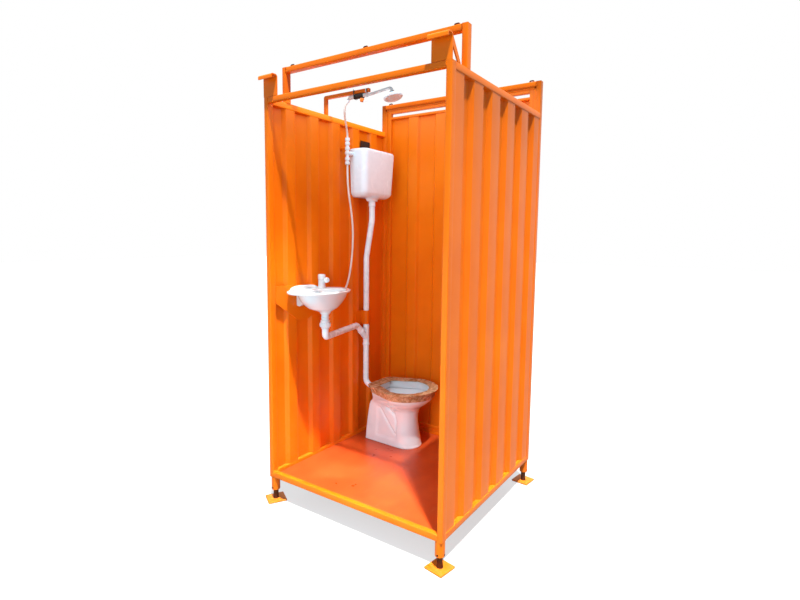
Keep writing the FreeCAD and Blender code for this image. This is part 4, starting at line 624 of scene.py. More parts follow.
def hooks():
    """Bent coupling plates on the front corners."""
    low, high = extent("coupling_hooks")
    plate = 6.0
    lip = 24.0
    wide = 106.0
    bend = 11.0
    # A narrow row at each edge keeps the plate's flanks crisp
    crisp = 0.01
    top = high.z - plate/2
    front = low.y + plate/2
    line = soften([(plate/2, low.z), (plate/2, top), (front, top), (front, high.z - lip)], bend, 6)
    shapes = []
    for x in (low.x, high.x - wide):
        levels = [x, x + crisp, x + wide - crisp, x + wide]
        shapes.append(folded(line, plate, levels, lambda u, v, level: (level, u, v)))
    piece("coupling_hooks_bent", joined(*shapes), ENAMEL, nodes=["coupling_hooks"])


# Legs

LEG_INSET = 25.0


def legs():
    """Square foot plates with eased edges, each welded to its round stem."""
    yaws = {"front_left_leg": -30, "front_right_leg": -10, "rear_left_leg": 20, "rear_right_leg": -7}
    side = 109.0
    thick = 8.0
    corner = 5
    bar = 15
    eased = ((1.4, 0), (0.4, 0.5), (0, 1.4), (0, thick - 1.4), (0.4, thick - 0.5), (1.4, thick))
    for node, yaw in yaws.items():
        low, high = extent(node)
        x = LEG_INSET if "left" in node else WIDTH - LEG_INSET
        y = LEG_INSET if "front" in node else DEPTH - LEG_INSET
        turn = Matrix.Rotation(math.radians(yaw), 3, "Z")
        rings = []
        for inset, z in eased:
            half = side/2 - inset
            plan = round_rectangle(-half, -half, half, half, corner)
            rings.append([Vector((x, y, low.z)) + turn @ Vector((u, v, z)) for u, v in plan])
        piece(f"{node}_foot", skin(rings), FOOT_PAINT, node, [node], sharp=60)
        top = high.z - low.z
        weld_top = thick + 4
        stem = [(17.6, thick - 0.5), (17.2, thick + 0.8), (15.8, thick + 2.4)]
        stem += [(bar, weld_top + (top - 2 - weld_top)*i/6) for i in range(7)] + [(13.4, top)]
        piece(f"{node}_stem", lathe(stem, (x, y, low.z), steps=32), STEM_STEEL, node, sharp=60)


def clamp_screws():
    """Socket screws that clamp the stems, almost flush with their sockets."""
    low, high = extent("leg_screws")
    height = (low.z + high.z)/2
    reach = 24.0
    head = [(4.4, -4), (4.4, 2), (3.8, 2.8), (2.4, 2.8), (2.4, 0.6), (0.1, 0.6)]
    shapes = []
    for x, outward_x in ((LEG_INSET, -1), (WIDTH - LEG_INSET, 1)):
        for y, outward_y in ((LEG_INSET, -1), (DEPTH - LEG_INSET, 1)):
            for way in ((outward_x, 0, 0), (0, outward_y, 0)):
                spot = Vector((x, y, height)) + Vector(way)*reach
                shapes.append(lathe(head, spot, way, 16))
    piece("leg_screws_socketed", joined(*shapes), RING_STEEL, nodes=["leg_screws"])


# Plan outlines of the two ceramics

def even(line, count, rounds):
    """Evenly spaced points round a plan whose upper half is given, with its corners eased."""
    line = [Vector(point) for point in line]
    line += [Vector((point.x, -point.y)) for point in reversed(line[:-1])]
    lengths = [0.0]
    for first, second in zip(line, line[1:]):
        lengths.append(lengths[-1] + (second - first).length)
    points = []
    edge = 0
    for index in range(count):
        goal = lengths[-1]*index/count
        while lengths[edge + 1] < goal:
            edge += 1
        share = (goal - lengths[edge])/(lengths[edge + 1] - lengths[edge])
        points.append(line[edge].lerp(line[edge + 1], share))
    for _ in range(rounds):
        points = [(points[i - 1] + points[i]*2 + points[(i + 1) % count])/4 for i in range(count)]
    return points


def egg(back, back_half, shoulder, half, front, count):
    """Plan with a straight back, slanting sides and a round front."""
    nose = front - shoulder
    centre = front - (half**2 + nose**2)/(2*nose)
    reach = front - centre
    start = math.atan2(half, shoulder - centre)
    line = [(back, 0), (back, back_half), (shoulder, half)]
    turns = [start*(1 - i/40) for i in range(1, 41)]
    line += [(centre + reach*math.cos(turn), reach*math.sin(turn)) for turn in turns]
    return even(line, count, 5)


def oval(back, back_half, shoulder, half, front, count):
    """Plan with a short straight back between elliptic sides and an elliptic front."""
    deep = (shoulder - back)/math.sqrt(1 - (back_half/half)**2)
    start = math.asin((shoulder - back)/deep)
    rear = [start*(1 - i/20) for i in range(21)]
    line = [(back, 0)] + [(shoulder - deep*math.sin(turn), half*math.cos(turn)) for turn in rear]
    fore = [math.pi/2*i/40 for i in range(1, 41)]
    line += [(shoulder + (front - shoulder)*math.sin(turn), half*math.cos(turn)) for turn in fore]
    return even(line, count, 4)


def outward(points):
    """Unit normals of a closed plan outline, pointing away from its middle."""
    count = len(points)
    normals = []
    for index in range(count):
        along = points[(index + 1) % count] - points[index - 1]
        normals.append(Vector((-along.y, along.x)).normalized())
    middle = sum(points, Vector((0, 0)))/count
    flip = 1 if (points[count//4] - middle).dot(normals[count//4]) > 0 else -1
    return [normal*flip for normal in normals]


def between(rows, height):
    """Smooth interpolation of rows of (height, numbers) at a height."""
    spot = next((i for i in range(len(rows) - 1) if height <= rows[i + 1][0]), len(rows) - 2)
    before = rows[max(spot - 1, 0)][1]
    first = rows[spot][1]
    second = rows[spot + 1][1]
    after = rows[min(spot + 2, len(rows) - 1)][1]
    share = (height - rows[spot][0])/(rows[spot + 1][0] - rows[spot][0])
    mixed = []
    for a, b, c, d in zip(before, first, second, after):
        square = (2*a - 5*b + 4*c - d)*share**2
        cube = (3*b - a - 3*c + d)*share**3
        mixed.append(0.5*(2*b + (c - a)*share + square + cube))
    return mixed


def from_line(point, line):
    """Distance of a point from a line of points in the plane."""
    best = 1e9
    for first, second in zip(line, line[1:]):
        first = Vector(first)
        along = Vector(second) - first
        share = max(0.0, min(1.0, (point - first).dot(along)/along.length_squared))
        best = min(best, (point - first - along*share).length)
    return best


def ramp(value, start, stop):
    """0 before start, 1 after stop, eased between."""
    share = max(0.0, min(1.0, (value - start)/(stop - start)))
    return share*share*(3 - 2*share)


# Toilet

PAN_Y = 855.0
PAN_POINTS = 240
RIM = 400
# The flush horn enters this far below the rim
HORN_DROP = 37.0
HORN_Z = FLOOR + RIM - HORN_DROP
HORN_X = 148.0
# Plans of the pan by height: back, half width there, shoulder, half width there, front
PAN_LEVELS = [
    (0, (125, 92, 420, 104, 527)), (20, (126, 90, 420, 102, 522)), (100, (130, 84, 415, 92, 508)),
    (190, (138, 78, 410, 82, 498)), (250, (146, 74, 404, 90, 506)), (275, (156, 74, 402, 108, 524)),
    (292, (176, 84, 400, 130, 548)), (310, (190, 96, 400, 156, 572)), (335, (192, 104, 402, 184, 596)),
    (362, (188, 106, 402, 194, 608)), (RIM, (186, 106, 402, 194, 608))]
# Plans of the bowl by height, counted downwards
BOWL_LEVELS = [
    (-340, (214, 84, 402, 178, 590)), (-310, (226, 66, 398, 146, 556)), (-262, (244, 46, 372, 102, 482)),
    (-218, (256, 30, 342, 64, 414)), (-190, (268, 21, 318, 42, 372))]
# Offsets from the rim's outline and heights: over the rounded rim, down its inside, under its lip
RIM_ROUND = ((0, 386), (-2, 394), (-6, 398.5), (-11, RIM), (-17, 399), (-21.5, 395), (-24, 388), (-25, 370),
             (-25.5, 352), (-24, 346), (-19, 343.5), (-13, 343))
THROAT_X = 305
THROAT = ((38, 184), (35, 170), (34, 120))
# Grooves in the pan's side, along x and up; the upper one runs out in an upright one
UPRIGHT_X = 388
UPPER_GROOVE = [(306, 262), (340, 244), (363, 224), (380, 196), (UPRIGHT_X, 170)]
LOWER_GROOVE = [(246, 246), (272, 212), (306, 164), (344, 122), (384, 86)]
GROOVE_WIDTH = 8
LOWER_DEPTH = 9
UPPER_DEPTH = 8
UPRIGHT_DEPTH = 6
# Sunk panels below the lower groove and above the upper one
LOWER_PANEL = 8.0
UPPER_PANEL = 6.0


def pan_relief(x, h):
    """How far the pan's side lies below its smooth form, where the trapway is modelled into the clay."""
    spot = Vector((x, h))
    lower = LOWER_DEPTH*math.exp(-(from_line(spot, LOWER_GROOVE)/GROOVE_WIDTH)**2)
    upper = UPPER_DEPTH*math.exp(-(from_line(spot, UPPER_GROOVE)/GROOVE_WIDTH)**2)
    behind = ramp(384 - x, 0, 10)*ramp(h, 42, 56)*ramp(278 - h, 0, 40)*ramp(x, 205, 240)
    below_lower = ramp((246 - h) + 1.17*(246 - x), -8, 14)
    above_upper = ramp((h - 262) + 0.85*(x - 306), -4, 14)
    panels = behind*(LOWER_PANEL*below_lower + UPPER_PANEL*above_upper*ramp(300 - h, 0, 30))
    upright = UPRIGHT_DEPTH*math.exp(-((x - UPRIGHT_X)/7)**2)*ramp(h, 45, 60)*ramp(176 - h, 0, 24)
    return lower + upper + panels + upright


def toilet():
    """Pan with its relief, box rim, undercut and bowl, and the inlet horn at the back."""
    rings = []
    eased_foot = {0: 3.5, 3: 0.8}
    above_foot = 14
    below_rim = PAN_LEVELS[-2][0]
    heights = [above_foot + (below_rim - above_foot)*i/52 for i in range(53)]
    for height in [0, 3, 8] + heights:
        plan = egg(*between(PAN_LEVELS, height), PAN_POINTS)
        ease = eased_foot.get(height, 0.0)
        ring = []
        for point, side in zip(plan, outward(plan)):
            sunk = pan_relief(point.x, height)*ramp(abs(side.y), 0.35, 0.75) + ease
            ring.append((point.x - side.x*sunk, PAN_Y + point.y - side.y*sunk, FLOOR + height))
        rings.append(ring)
    rim = egg(*PAN_LEVELS[-1][1], PAN_POINTS)
    sides = outward(rim)
    for offset, height in RIM_ROUND:
        edge = [point + side*offset for point, side in zip(rim, sides)]
        rings.append([(point.x, PAN_Y + point.y, FLOOR + height) for point in edge])
    bowl_top = BOWL_LEVELS[0][0]
    bowl_foot = BOWL_LEVELS[-1][0]
    for depth in [bowl_top + (bowl_foot - bowl_top)*i/16 for i in range(17)]:
        plan = egg(*between(BOWL_LEVELS, depth), PAN_POINTS)
        rings.append([(point.x, PAN_Y + point.y, FLOOR - depth) for point in plan])
    turns = [2*math.pi*i/PAN_POINTS for i in range(PAN_POINTS)]
    for radius, height in THROAT:
        rings.append([(THROAT_X - radius*math.cos(turn), PAN_Y + radius*math.sin(turn), FLOOR + height)
                      for turn in turns])
    horn = lathe([(22, 0), (26, 1.5), (27, 20), (29, 46), (34, 58)], (HORN_X, PAN_Y, HORN_Z), (1, 0, 0))
    shape = joined(skin(rings), horn)
    piece("toilet_pan_glazed", shape, CHINA, nodes=["toilet_bowl"], sharp=50)


# Rows of the paper's fold: offset from the rim, share of the way to the torn mouth, height, crumple
PAPER_ROWS = [
    (2.8, 0, 355, 1.2), (6, 0, 368, 3), (12, 0, 383, 4), (19, 0, 397, 3), (23.5, 0, 404, 2), (25, 0, 408, 1),
    (22, 0, 409.6, 1), (12, 0.1, 409, 2.4), (4, 0.35, 407.5, 3.2), (0, 0.6, 407, 3.6), (0, 0.82, 406, 3),
    (0, 1.0, 404.5, 2.6), (0, 1.03, 401, 2), (0, 1.0, 402, 2), (0, 0.75, 403.4, 2.4), (0, 0.45, 403.8, 2),
    (8, 0.1, 404.5, 1.5), (20, 0, 405, 1), (16.5, 0, 397, 2), (9.5, 0, 383, 3), (3.6, 0, 368, 2),
    (1.4, 0, 355.5, 1)]
PAPER_TOP = 410.2
PAPER_LOWEST_INSIDE = 400.6
PAPER_MOUTH = (236, 76, 402, 160, 570)
CRUMPLE_SIZE = 21
FOLD_SIZE = 46


def rim_paper():
    """Kraft paper folded over the rim and taped: crumpled all round, with a torn edge inside."""
    rim = egg(*PAN_LEVELS[-1][1], PAN_POINTS)
    mouth = egg(*PAPER_MOUTH, PAN_POINTS)
    loops = []
    for start, side, goal in zip(rim, outward(rim), mouth):
        loop = []
        for offset, share, height, crumple in PAPER_ROWS:
            spot = (start + side*offset).lerp(goal, share)
            here = Vector((spot.x/CRUMPLE_SIZE, spot.y/CRUMPLE_SIZE, height/CRUMPLE_SIZE))
            push = noise.noise(here)*0.6 + noise.noise(here*2.7)*0.4
            fold = abs(noise.noise(Vector((spot.x/FOLD_SIZE, spot.y/FOLD_SIZE, 3.3)))) - 0.22
            inward = side*(push*crumple*0.7 if share < 0.5 else noise.noise(here*0.8)*5*share)
            on_top = 400 < height < 409.5
            lift = push*crumple*0.5 - abs(fold)*crumple*0.9 if on_top else push*crumple*0.35
            z = min(height + lift, PAPER_TOP)
            if share:
                spot = spot - inward
                z = max(z, PAPER_LOWEST_INSIDE)
            else:
                spot = spot + inward*0.8
            loop.append((spot.x, PAN_Y + spot.y, FLOOR + z))
        loops.append(loop)
    piece("rim_wrap_paper", skin(loops, wrap=True), KRAFT, nodes=["rim_wrap"], sharp=55)


# Basin

BASIN_X = extent("basin")[0].x
BASIN_Y = 262.0
BASIN_RIM = 1122.0
BASIN_POINTS = 160
BASIN_WALL = 11
WASTE_REACH = 181
WASTE_X = BASIN_X + WASTE_REACH
# The bowl's plans by their drop below the rim: rear, half width there, half width, nose
BASIN_LEVELS = [(0, (66, 108, 182, 280)), (51, (76, 92, 154, 266)), (95, (104, 62, 104, 242)),
                (122, (150, 22, 34, 212))]
# The lip's section from below: inset from its outline, and height above the rim's level
LIP = ((9, -12.5), (4, -14.5), (1.2, -12.5), (0, -9), (0, -5), (1.2, -1.5), (4, 0.4), (9, 0.6), (16, -1))
LUG = [(0, -15), (0, -100), (24, -104), (62, -82), (108, -26), (108, -15)]
LUG_WIDTH = 20
LUG_PLACES = (-58, 38)
UPSTAND_HALF = 112
# How far below the rim the bowl begins outside and inside, and how much shallower it is inside
OUTSIDE_DROP = 9
INSIDE_DROP = 5
INSIDE_SHARE = 0.955
GRATE_DROP = 120.5


def bowl_ring(drop, wall, z):
    """The basin's plan at a drop below its rim, drawn in by a wall."""
    rear, back_half, half, nose = between(BASIN_LEVELS, drop)
    plan = oval(rear + wall, back_half - wall, (rear + nose)/2, half - wall, nose - wall, BASIN_POINTS)
    return [(BASIN_X + point.x, BASIN_Y + point.y, z) for point in plan]


def basin():
    """Wall basin: rolled lip, deck, bowl inside and out, upstand against the plate and two lugs below."""
    lip = oval(0, 112, 132, 220, 298, BASIN_POINTS)
    normals = outward(lip)
    deepest = BASIN_LEVELS[-1][0]
    drops = [deepest*i/18 for i in range(19)]
    rings = [bowl_ring(drop, 0, BASIN_RIM - OUTSIDE_DROP - drop) for drop in reversed(drops)]
    for inset, rise in LIP:
        rings.append([(BASIN_X + max(p.x - n.x*inset, 0), BASIN_Y + p.y - n.y*inset, BASIN_RIM + rise)
                      for p, n in zip(lip, normals)])
    shoulder = ((5, -1.8), (8.5, -2.6), (BASIN_WALL, -INSIDE_DROP))
    rings += [bowl_ring(0, wall, BASIN_RIM + rise) for wall, rise in shoulder]
    for drop in drops[1:]:
        rings.append(bowl_ring(drop, BASIN_WALL, BASIN_RIM - INSIDE_DROP - drop*INSIDE_SHARE))
    shapes = [skin(rings, wrap=True)]
    upstand = []
    for step in range(41):
        y = UPSTAND_HALF*(step/20 - 1)
        rise = 1 + 22*math.sqrt(max(0.0, 1 - (max(abs(y) - 30, 0)/82)**2))
        section = [(0, -6), (16, -6), (16, rise*0.72), (14.6, rise*0.9), (11, rise), (0, rise)]
        upstand.append([(BASIN_X + u, BASIN_Y + y, BASIN_RIM + v) for u, v in section])
    shapes.append(skin(upstand))
    side = soften([(u, BASIN_RIM + v) for u, v in LUG], 8, 3)
    for place in LUG_PLACES:
        y = BASIN_Y + place
        shapes.append(skin([[(BASIN_X + u, y + w, z) for u, z in side] for w in (0, LUG_WIDTH)]))
    piece("basin_glazed", joined(*shapes), CHINA, nodes=["basin"], sharp=55)
    grate = [(0.1, 0), (16, 0), (19.5, 1.2), (20.5, 3), (19, 4), (15, 3.4), (0.1, 3)]
    piece("basin_grate", lathe(grate, (WASTE_X, BASIN_Y, BASIN_RIM - GRATE_DROP)), PVC)
    plug = [(5.4, 0), (6.4, 0.6), (6.4, 1.6), (4.5, 2.6), (0.1, 3)]
    spot = (BASIN_X + 36, BASIN_Y - 118, BASIN_RIM - 1)
    piece("basin_hole_plug", lathe(plug, spot, steps=20), BLACK)


def waste():
    """Waste tail and trap nut under the basin: moulded rings on the neck, ribbed nut."""
    low = extent("basin_waste")[0].z
    nut = [(20, 0), (23, 0.6), (24.5, 2), (24.5, 6), (23, 7.5), (25.5, 9), (30.5, 13, 1.6), (33.6, 17, 2.2),
           (34, 26, 2.2), (33.6, 35, 2.2), (30.5, 39, 1.6), (26, 42), (26, 46)]
    neck = [(29, 47), (29.4, 51), (27.5, 53), (22.5, 54), (22, 66), (22.4, 68), (24.6, 69), (24.8, 72.5),
            (22.4, 74), (22, 76), (22, 86)]
    flare = [(24, 88), (27, 92), (31, 98), (33, 104)]
    shape = lathe(nut + neck + flare, (WASTE_X, BASIN_Y, low), steps=72, flutes=18)
    piece("basin_waste_moulded", shape, PVC, nodes=["basin_waste"])


# Flush pipe and drain

PIPE_X = 57.0
PIPE_RADIUS = 20
TRAP_KNEE = 838
TRAP_BEND = 44
FLUSH_BEND = 88
FLUSH_INSERT = 12
# Height where the branch's slanting axis meets the flush pipe
BRANCH_Z = 723.0


def drain():
    """Trap pipe from the basin's nut to the wall, the branch that takes it in, and the bend to the pan."""
    nut_foot = extent("basin_waste")[0].z
    corners = [(WASTE_X, BASIN_Y, nut_foot), (WASTE_X, BASIN_Y, TRAP_KNEE)]
    # The last two corners lie on the slanting axis of the branch
    corners += [(PIPE_X, PAN_Y - reach, BRANCH_Z + reach) for reach in (103, 53)]
    trap = rigid_pipe(corners, PIPE_RADIUS, TRAP_BEND)
    piece("trap_pipe_bent", trap, PVC, nodes=["trap_pipe"])
    low, high = extent("flush_y_branch")
    tall = high.z - low.z
    main = [(19, 0), (23, 0.6), (24, 2), (24, 15), (23, 17), (21.4, 18.5), (21.4, tall - 18),
            (22.6, tall - 16), (23, tall - 14), (23, tall - 1), (20, tall)]
    mouth = [(21.4, 0), (21.4, 68), (23.4, 70), (24, 72), (24, 90), (23, 91.5), (20, 92)]
    branch = joined(lathe(main, (PIPE_X, PAN_Y, low.z)), lathe(mouth, (PIPE_X, PAN_Y, BRANCH_Z), (0, -1, 1)))
    piece("flush_y_branch_moulded", branch, PVC, nodes=["flush_y_branch"])
    corners = [(PIPE_X, PAN_Y, low.z), (PIPE_X, PAN_Y, HORN_Z), (HORN_X + FLUSH_INSERT, PAN_Y, HORN_Z)]
    bend = rigid_pipe(corners, PIPE_RADIUS, FLUSH_BEND)
    piece("flush_bend_drawn", bend, PVC, nodes=["flush_bend"])


def tap():
    """Pillar tap: flanged body with a short bulbous spout, and its fluted knob."""
    knob_radius = 24
    body_height = 52
    spout_rise = 32
    spout_way = (1, 0, 0.45)
    corner = extent("tap_knob")[0]
    x = corner.x + knob_radius
    y = corner.y + knob_radius
    low = extent("tap_body")[0].z
    profile = [(9, low - BASIN_RIM), (9, -8), (13, -8), (13, 0), (26, 0), (26.4, 2), (26, 5), (23.4, 8),
               (22.2, 11), (22, 16), (22, 44), (22.6, 46), (22.6, 49), (21.4, 51), (18, body_height),
               (0.1, body_height)]
    spout = [(8.5, 0), (8.5, 26), (10, 29), (13.6, 33), (16.4, 38), (17.6, 45), (17, 52), (14.4, 57),
             (10, 59.4), (8.4, 59), (8, 53), (0.1, 52)]
    body = joined(lathe(profile, (x, y, BASIN_RIM), steps=48),
                  lathe(spout, (x, y, BASIN_RIM + spout_rise), spout_way, steps=32))
    piece("tap_body_moulded", body, ABS, nodes=["tap_body"])
    knob = [(20, 0.4), (23.4, 0.9), (knob_radius, 2.6, 0.4), (knob_radius, 8, 1.3), (23.8, 27, 1.3),
            (23, 30.5, 0.8), (20.5, 33, 0.2), (16, 34), (12, 33.4), (0.1, 33.2)]
    shape = lathe(knob, (x, y, BASIN_RIM + body_height), steps=96, flutes=16)
    piece("tap_knob_moulded", shape, ABS, "tap_knob", ["tap_knob"])


# Cistern

TANK_LOW, TANK_HIGH = extent("cistern_tank")
# The photographed tank reaches further to the rear than its solid
TANK_SPARE = 22.0
TANK_Y = (TANK_LOW.y + TANK_HIGH.y + TANK_SPARE)/2
TANK_HALF = (TANK_HIGH.y - TANK_LOW.y + TANK_SPARE)/2
TANK_DEPTH = TANK_HIGH.x - TANK_LOW.x
TANK_CORNER = 40.0
TANK_WALL = 3
OUTLET_X = (extent("flush_coupling")[0].x + extent("flush_coupling")[1].x)/2
# The lever's window: half its width, its low and high edges, and its first column in the tank's plan
SLOT_HALF = 6.0
SLOT_LOW = 1929.0
SLOT_HIGH = 1959.0
SLOT_COLUMN = 4


def tank_ring(inset, wall, z):
    """The tank's plan at a height, drawn in by an inset and a wall, with points at the window's edges."""
    half = TANK_HALF - inset - wall
    deep = TANK_DEPTH - inset - wall
    bend = max(TANK_CORNER - wall, 4)
    flank = deep - bend
    middle = OUTLET_X - TANK_LOW.x
    stops = [wall, 10, 25, 45, middle - SLOT_HALF, middle + SLOT_HALF, flank]
    side = [(min(stop, flank), half) for stop in stops]
    turns = [math.pi/2*i/10 for i in range(1, 11)]
    curve = [(flank + bend*math.sin(turn), half - bend + bend*math.cos(turn)) for turn in turns]
    front = [(deep, (half - bend)*(1 - i/6)) for i in range(1, 6)]
    quarter = side + curve + front
    plan = quarter + [(deep, 0.0)] + [(x, -y) for x, y in reversed(quarter)]
    return [(TANK_LOW.x + x, TANK_Y + y, z) for x, y in plan]


def cistern_tank():
    """Open tank with a rounded sole and front corners, and the window for its flush lever."""
    tall = TANK_HIGH.z - TANK_LOW.z
    taper = 12.0
    sole = 34.0
    round_sole = ((38, 0), (29, 1.5), (21, 5), (13.5, 10.5), (7.5, 17.5), (3.2, 25), (0.8, 31), (0, sole))
    rise = [(taper + inset, h) for inset, h in round_sole]
    levels = [sole + (tall - sole)*i/6 for i in (1, 2, 3, 4)]
    levels += [SLOT_LOW - TANK_LOW.z, SLOT_HIGH - TANK_LOW.z, tall]
    rise += [(taper*(1 - (h - sole)/(tall - sole)), h) for h in levels]
    outer = [tank_ring(inset, 0, TANK_LOW.z + h) for inset, h in rise]
    inner = []
    for inset, h in reversed(rise[1:]):
        thicker = 2 if TANK_WALL < h < sole else 0
        inner.append(tank_ring(inset, TANK_WALL, TANK_LOW.z + max(h, TANK_WALL) + thicker))
    verts, faces = skin(outer + inner)
    count = len(outer[0])

    def window(rows, base):
        edges = {SLOT_LOW, SLOT_HIGH}
        row = next(i for i in range(len(rows) - 1)
                   if {round(rows[i][0][2]), round(rows[i + 1][0][2])} == edges)
        first = (base + row)*count + SLOT_COLUMN
        return [first, first + 1, first + count + 1, first + count]

    near = window(outer, 0)
    far = window(inner, len(outer))[::-1]
    kept = [face for face in faces if set(face) not in (set(near), set(far))]
    kept += [(near[i], near[(i + 1) % 4], far[(i + 1) % 4], far[i]) for i in range(4)]
    piece("cistern_tank_moulded", (verts, kept), ABS, nodes=["cistern_tank"], sharp=50)


def lever_bearing():
    """Two ears in the tank with the axle that the flush lever turns on."""
    pivot = TANK_HIGH.y - 30
    rear = TANK_HIGH.y + TANK_SPARE - 5
    ear = 5
    half = 15
    round_end = 8
    ears = [rounded_box((x, pivot - round_end, SLOT_HIGH - 2*round_end), (x + ear, rear, SLOT_HIGH), 1.5)
            for x in (OUTLET_X - half, OUTLET_X + half - ear)]
    axle = lathe([(3, 0), (3, 2*half)], (OUTLET_X - half, pivot, SLOT_HIGH - round_end), (1, 0, 0), 20)
    piece("lever_bearing", joined(axle, *ears), ABS)


def cistern_lid():
    """Loose lid: upright edge, rounded shoulder and a slightly domed top, hollow below."""
    base = extent("cistern_lid")[0].z
    edge = 9
    shoulder = 16
    slope = 40
    dome = 3
    top = base + edge + shoulder
    lid = [tank_ring(0, 0, base + z) for z in (0.2, 3, 6, edge)]
    for turn in [math.pi/2*i/8 for i in range(1, 9)]:
        lid.append(tank_ring(shoulder*(1 - math.cos(turn)), 0, base + edge + shoulder*math.sin(turn)))
    lid += [tank_ring(shoulder + slope*i/5, 0, top + dome*math.sin(math.pi/2*i/5)) for i in range(1, 6)]
    under = [tank_ring(inset, TANK_WALL, base + z) for inset, z in ((8, 14), (0, 12), (0, 0.2))]
    piece("cistern_lid_moulded", skin(under + lid), ABS, "cistern_lid", ["cistern_lid"],
          sharp=50)


def flush_coupling():
    """Nut on the flush pipe's top, which flares to an oval under the tank."""
    low = extent("flush_coupling")[0].z
    nut = [(18.5, 0), (22.6, 0.4), (23.6, 2), (23.6, 9), (22.8, 10.5), (22.8, 42)]
    flare = [(38, 36), (43, 36.6), (45, 39), (46, 43), (48.5, 48), (54, 53), (62, 57), (66, 60)]
    rows = [(radius, radius, z) for radius, z in nut]
    narrow = 0.66
    broad = 1.1
    rows += [(radius*narrow, radius*broad, z) for radius, z in flare]
    turns = [2*math.pi*i/56 for i in range(56)]
    rings = [[(OUTLET_X + across*math.cos(turn), PAN_Y + along*math.sin(turn), low + z) for turn in turns]
             for across, along, z in rows]
    piece("flush_coupling_moulded", skin(rings), ABS, nodes=["flush_coupling"])


# Water supply

def supply():
    """Stack of ribbed couplings on a stem, with the tee to the cistern and the inlet through the wall."""
    low, high = extent("supply_tee")
    collar_radius = 16
    x = 60.0
    y = low.y + collar_radius
    tee_z = 1998.0
    inlet_z = 2027.0
    tall = high.z - low.z
    half = 9.5
    collar = [(11, 0), (15, 0.4), (collar_radius, 1.6, 0.9), (collar_radius, 17.4, 0.9), (15, 18.6),
              (11, 2*half)]
    stem = [(10.4, 0), (11, 0.6), (11, tall - 0.6), (7.2, tall), (7.2, tall - 24)]
    levels = (low.z, low.z + 28, tee_z - half, inlet_z - half, high.z - 47, high.z - 2*half)
    shapes = [lathe(stem, (x, y, low.z))]
    shapes += [lathe(collar, (x, y, z), steps=72, flutes=18) for z in levels]
    branch = [(11, 0), (11, 22), (14, 23), (15, 25, 0.8), (15, 38, 0.8), (14, 39.5), (11, 40), (11, 58)]
    shapes.append(lathe(branch, (x, y, tee_z), (0, 1, 0), steps=72, flutes=12))
    piece("supply_tee_moulded", joined(*shapes), PVC, nodes=["supply_tee"])
    nut = [(12, 0), (15.5, 0.8), (15.5, 3.2), (12, 4)]
    outside = -25
    inlet = [lathe([(6, 0), (10.5, 0.6), (10.5, 78)], (outside, y, inlet_z), (1, 0, 0), 32)]
    inlet += [lathe(nut, (start, y, inlet_z), (1, 0, 0), 6) for start in (-1, 4.5)]
    piece("supply_inlet_painted", joined(*inlet), ENAMEL)


# Shower

SHOWER_Y = 490.0


def valve_sleeve():
    """Black ribbed sleeve round the valve, tied to the bar above it."""
    low, high = extent("valve_sleeve")
    axis = (low.z + high.z)/2
    thick = 15
    groove = 14.2
    sleeve = [(12.4, 0), (groove, 0.5), (thick, 1.6)]
    for foot in [3 + 7*index for index in range(9)]:
        sleeve += [(thick, foot), (thick, foot + 4), (groove, foot + 4.8), (groove, foot + 6.2)]
    sleeve += [(thick, 67), (thick, 68.6), (groove, 69.6), (12.4, 70)]
    shape = lathe(sleeve, (low.x, SHOWER_Y, axis), (1, 0, 0))
    piece("valve_sleeve_moulded", shape, BLACK, nodes=["valve_sleeve"])
    x = low.x + 5
    half = 2.4
    near = SHOWER_Y - 16
    plan = round_rectangle(SHOWER_Y - 16.6, axis - 15.8, SHOWER_Y + 16.6, axis + 35.9, 9, 5)
    loop = band(x - half, 2*half, plan, (SHOWER_Y, axis + 10), 1.0, 1.04)
    lock = rounded_box((x - 3.4, near - 4.5, axis + 14), (x + 3.4, near, axis + 21), 1.2)
    tail = rounded_box((x - 2, near - 5.6, axis + 16), (x + 2, near - 4.2, axis + 40), 0.6)
    piece("sleeve_ties", joined(loop, lock, tail), NYLON)


def bar_ends():
    """A turn of white tape and a black one at the free end of the support bar."""
    high = extent("shower_bar")[1]
    half = 10.5
    middle = high.z - 10
    plan = round_rectangle(SHOWER_Y - half, middle - half, SHOWER_Y + half, middle + half, 2.5, 3)
    for name, back, finish, slot in (("bar_end_tape", 26, ABS, "white_plastic"),
                                     ("bar_end_cap", 17, BLACK, "dark_plastic")):
        piece(name, band(high.x - back, 7, plan, (SHOWER_Y, middle), 0.94, 1.0), finish)


def shower_lever():
    """The valve's lever: an orange knob below the valve with a slim white handle."""
    low, high = extent("shower_lever")
    knob_radius = 13
    x = low.x + knob_radius
    knob = [(9, 0), (12.4, -0.8), (knob_radius, -2.4), (knob_radius, -12), (12.2, -17), (9.5, -20.6),
            (5, -22), (0.1, -22)]
    piece("shower_lever_knob", lathe(knob, (x, SHOWER_Y, high.z)), LEVER_PLASTIC,
          "shower_lever", ["shower_lever"])
    rings = []
    for share in [i/10 for i in range(11)]:
        wide = 3.4 - 1.0*math.sin(math.pi*share) if share < 0.97 else 2.0
        middle = low.z + 4 - 0.6*share
        thick = 3.1 - share
        plan = round_rectangle(SHOWER_Y - wide, middle - thick, SHOWER_Y + wide, middle + thick, 1.6, 3)
        rings.append([(x + 8 + 40*share, u, v) for u, v in plan])
    piece("shower_lever_handle", skin(rings), PVC, "shower_lever")


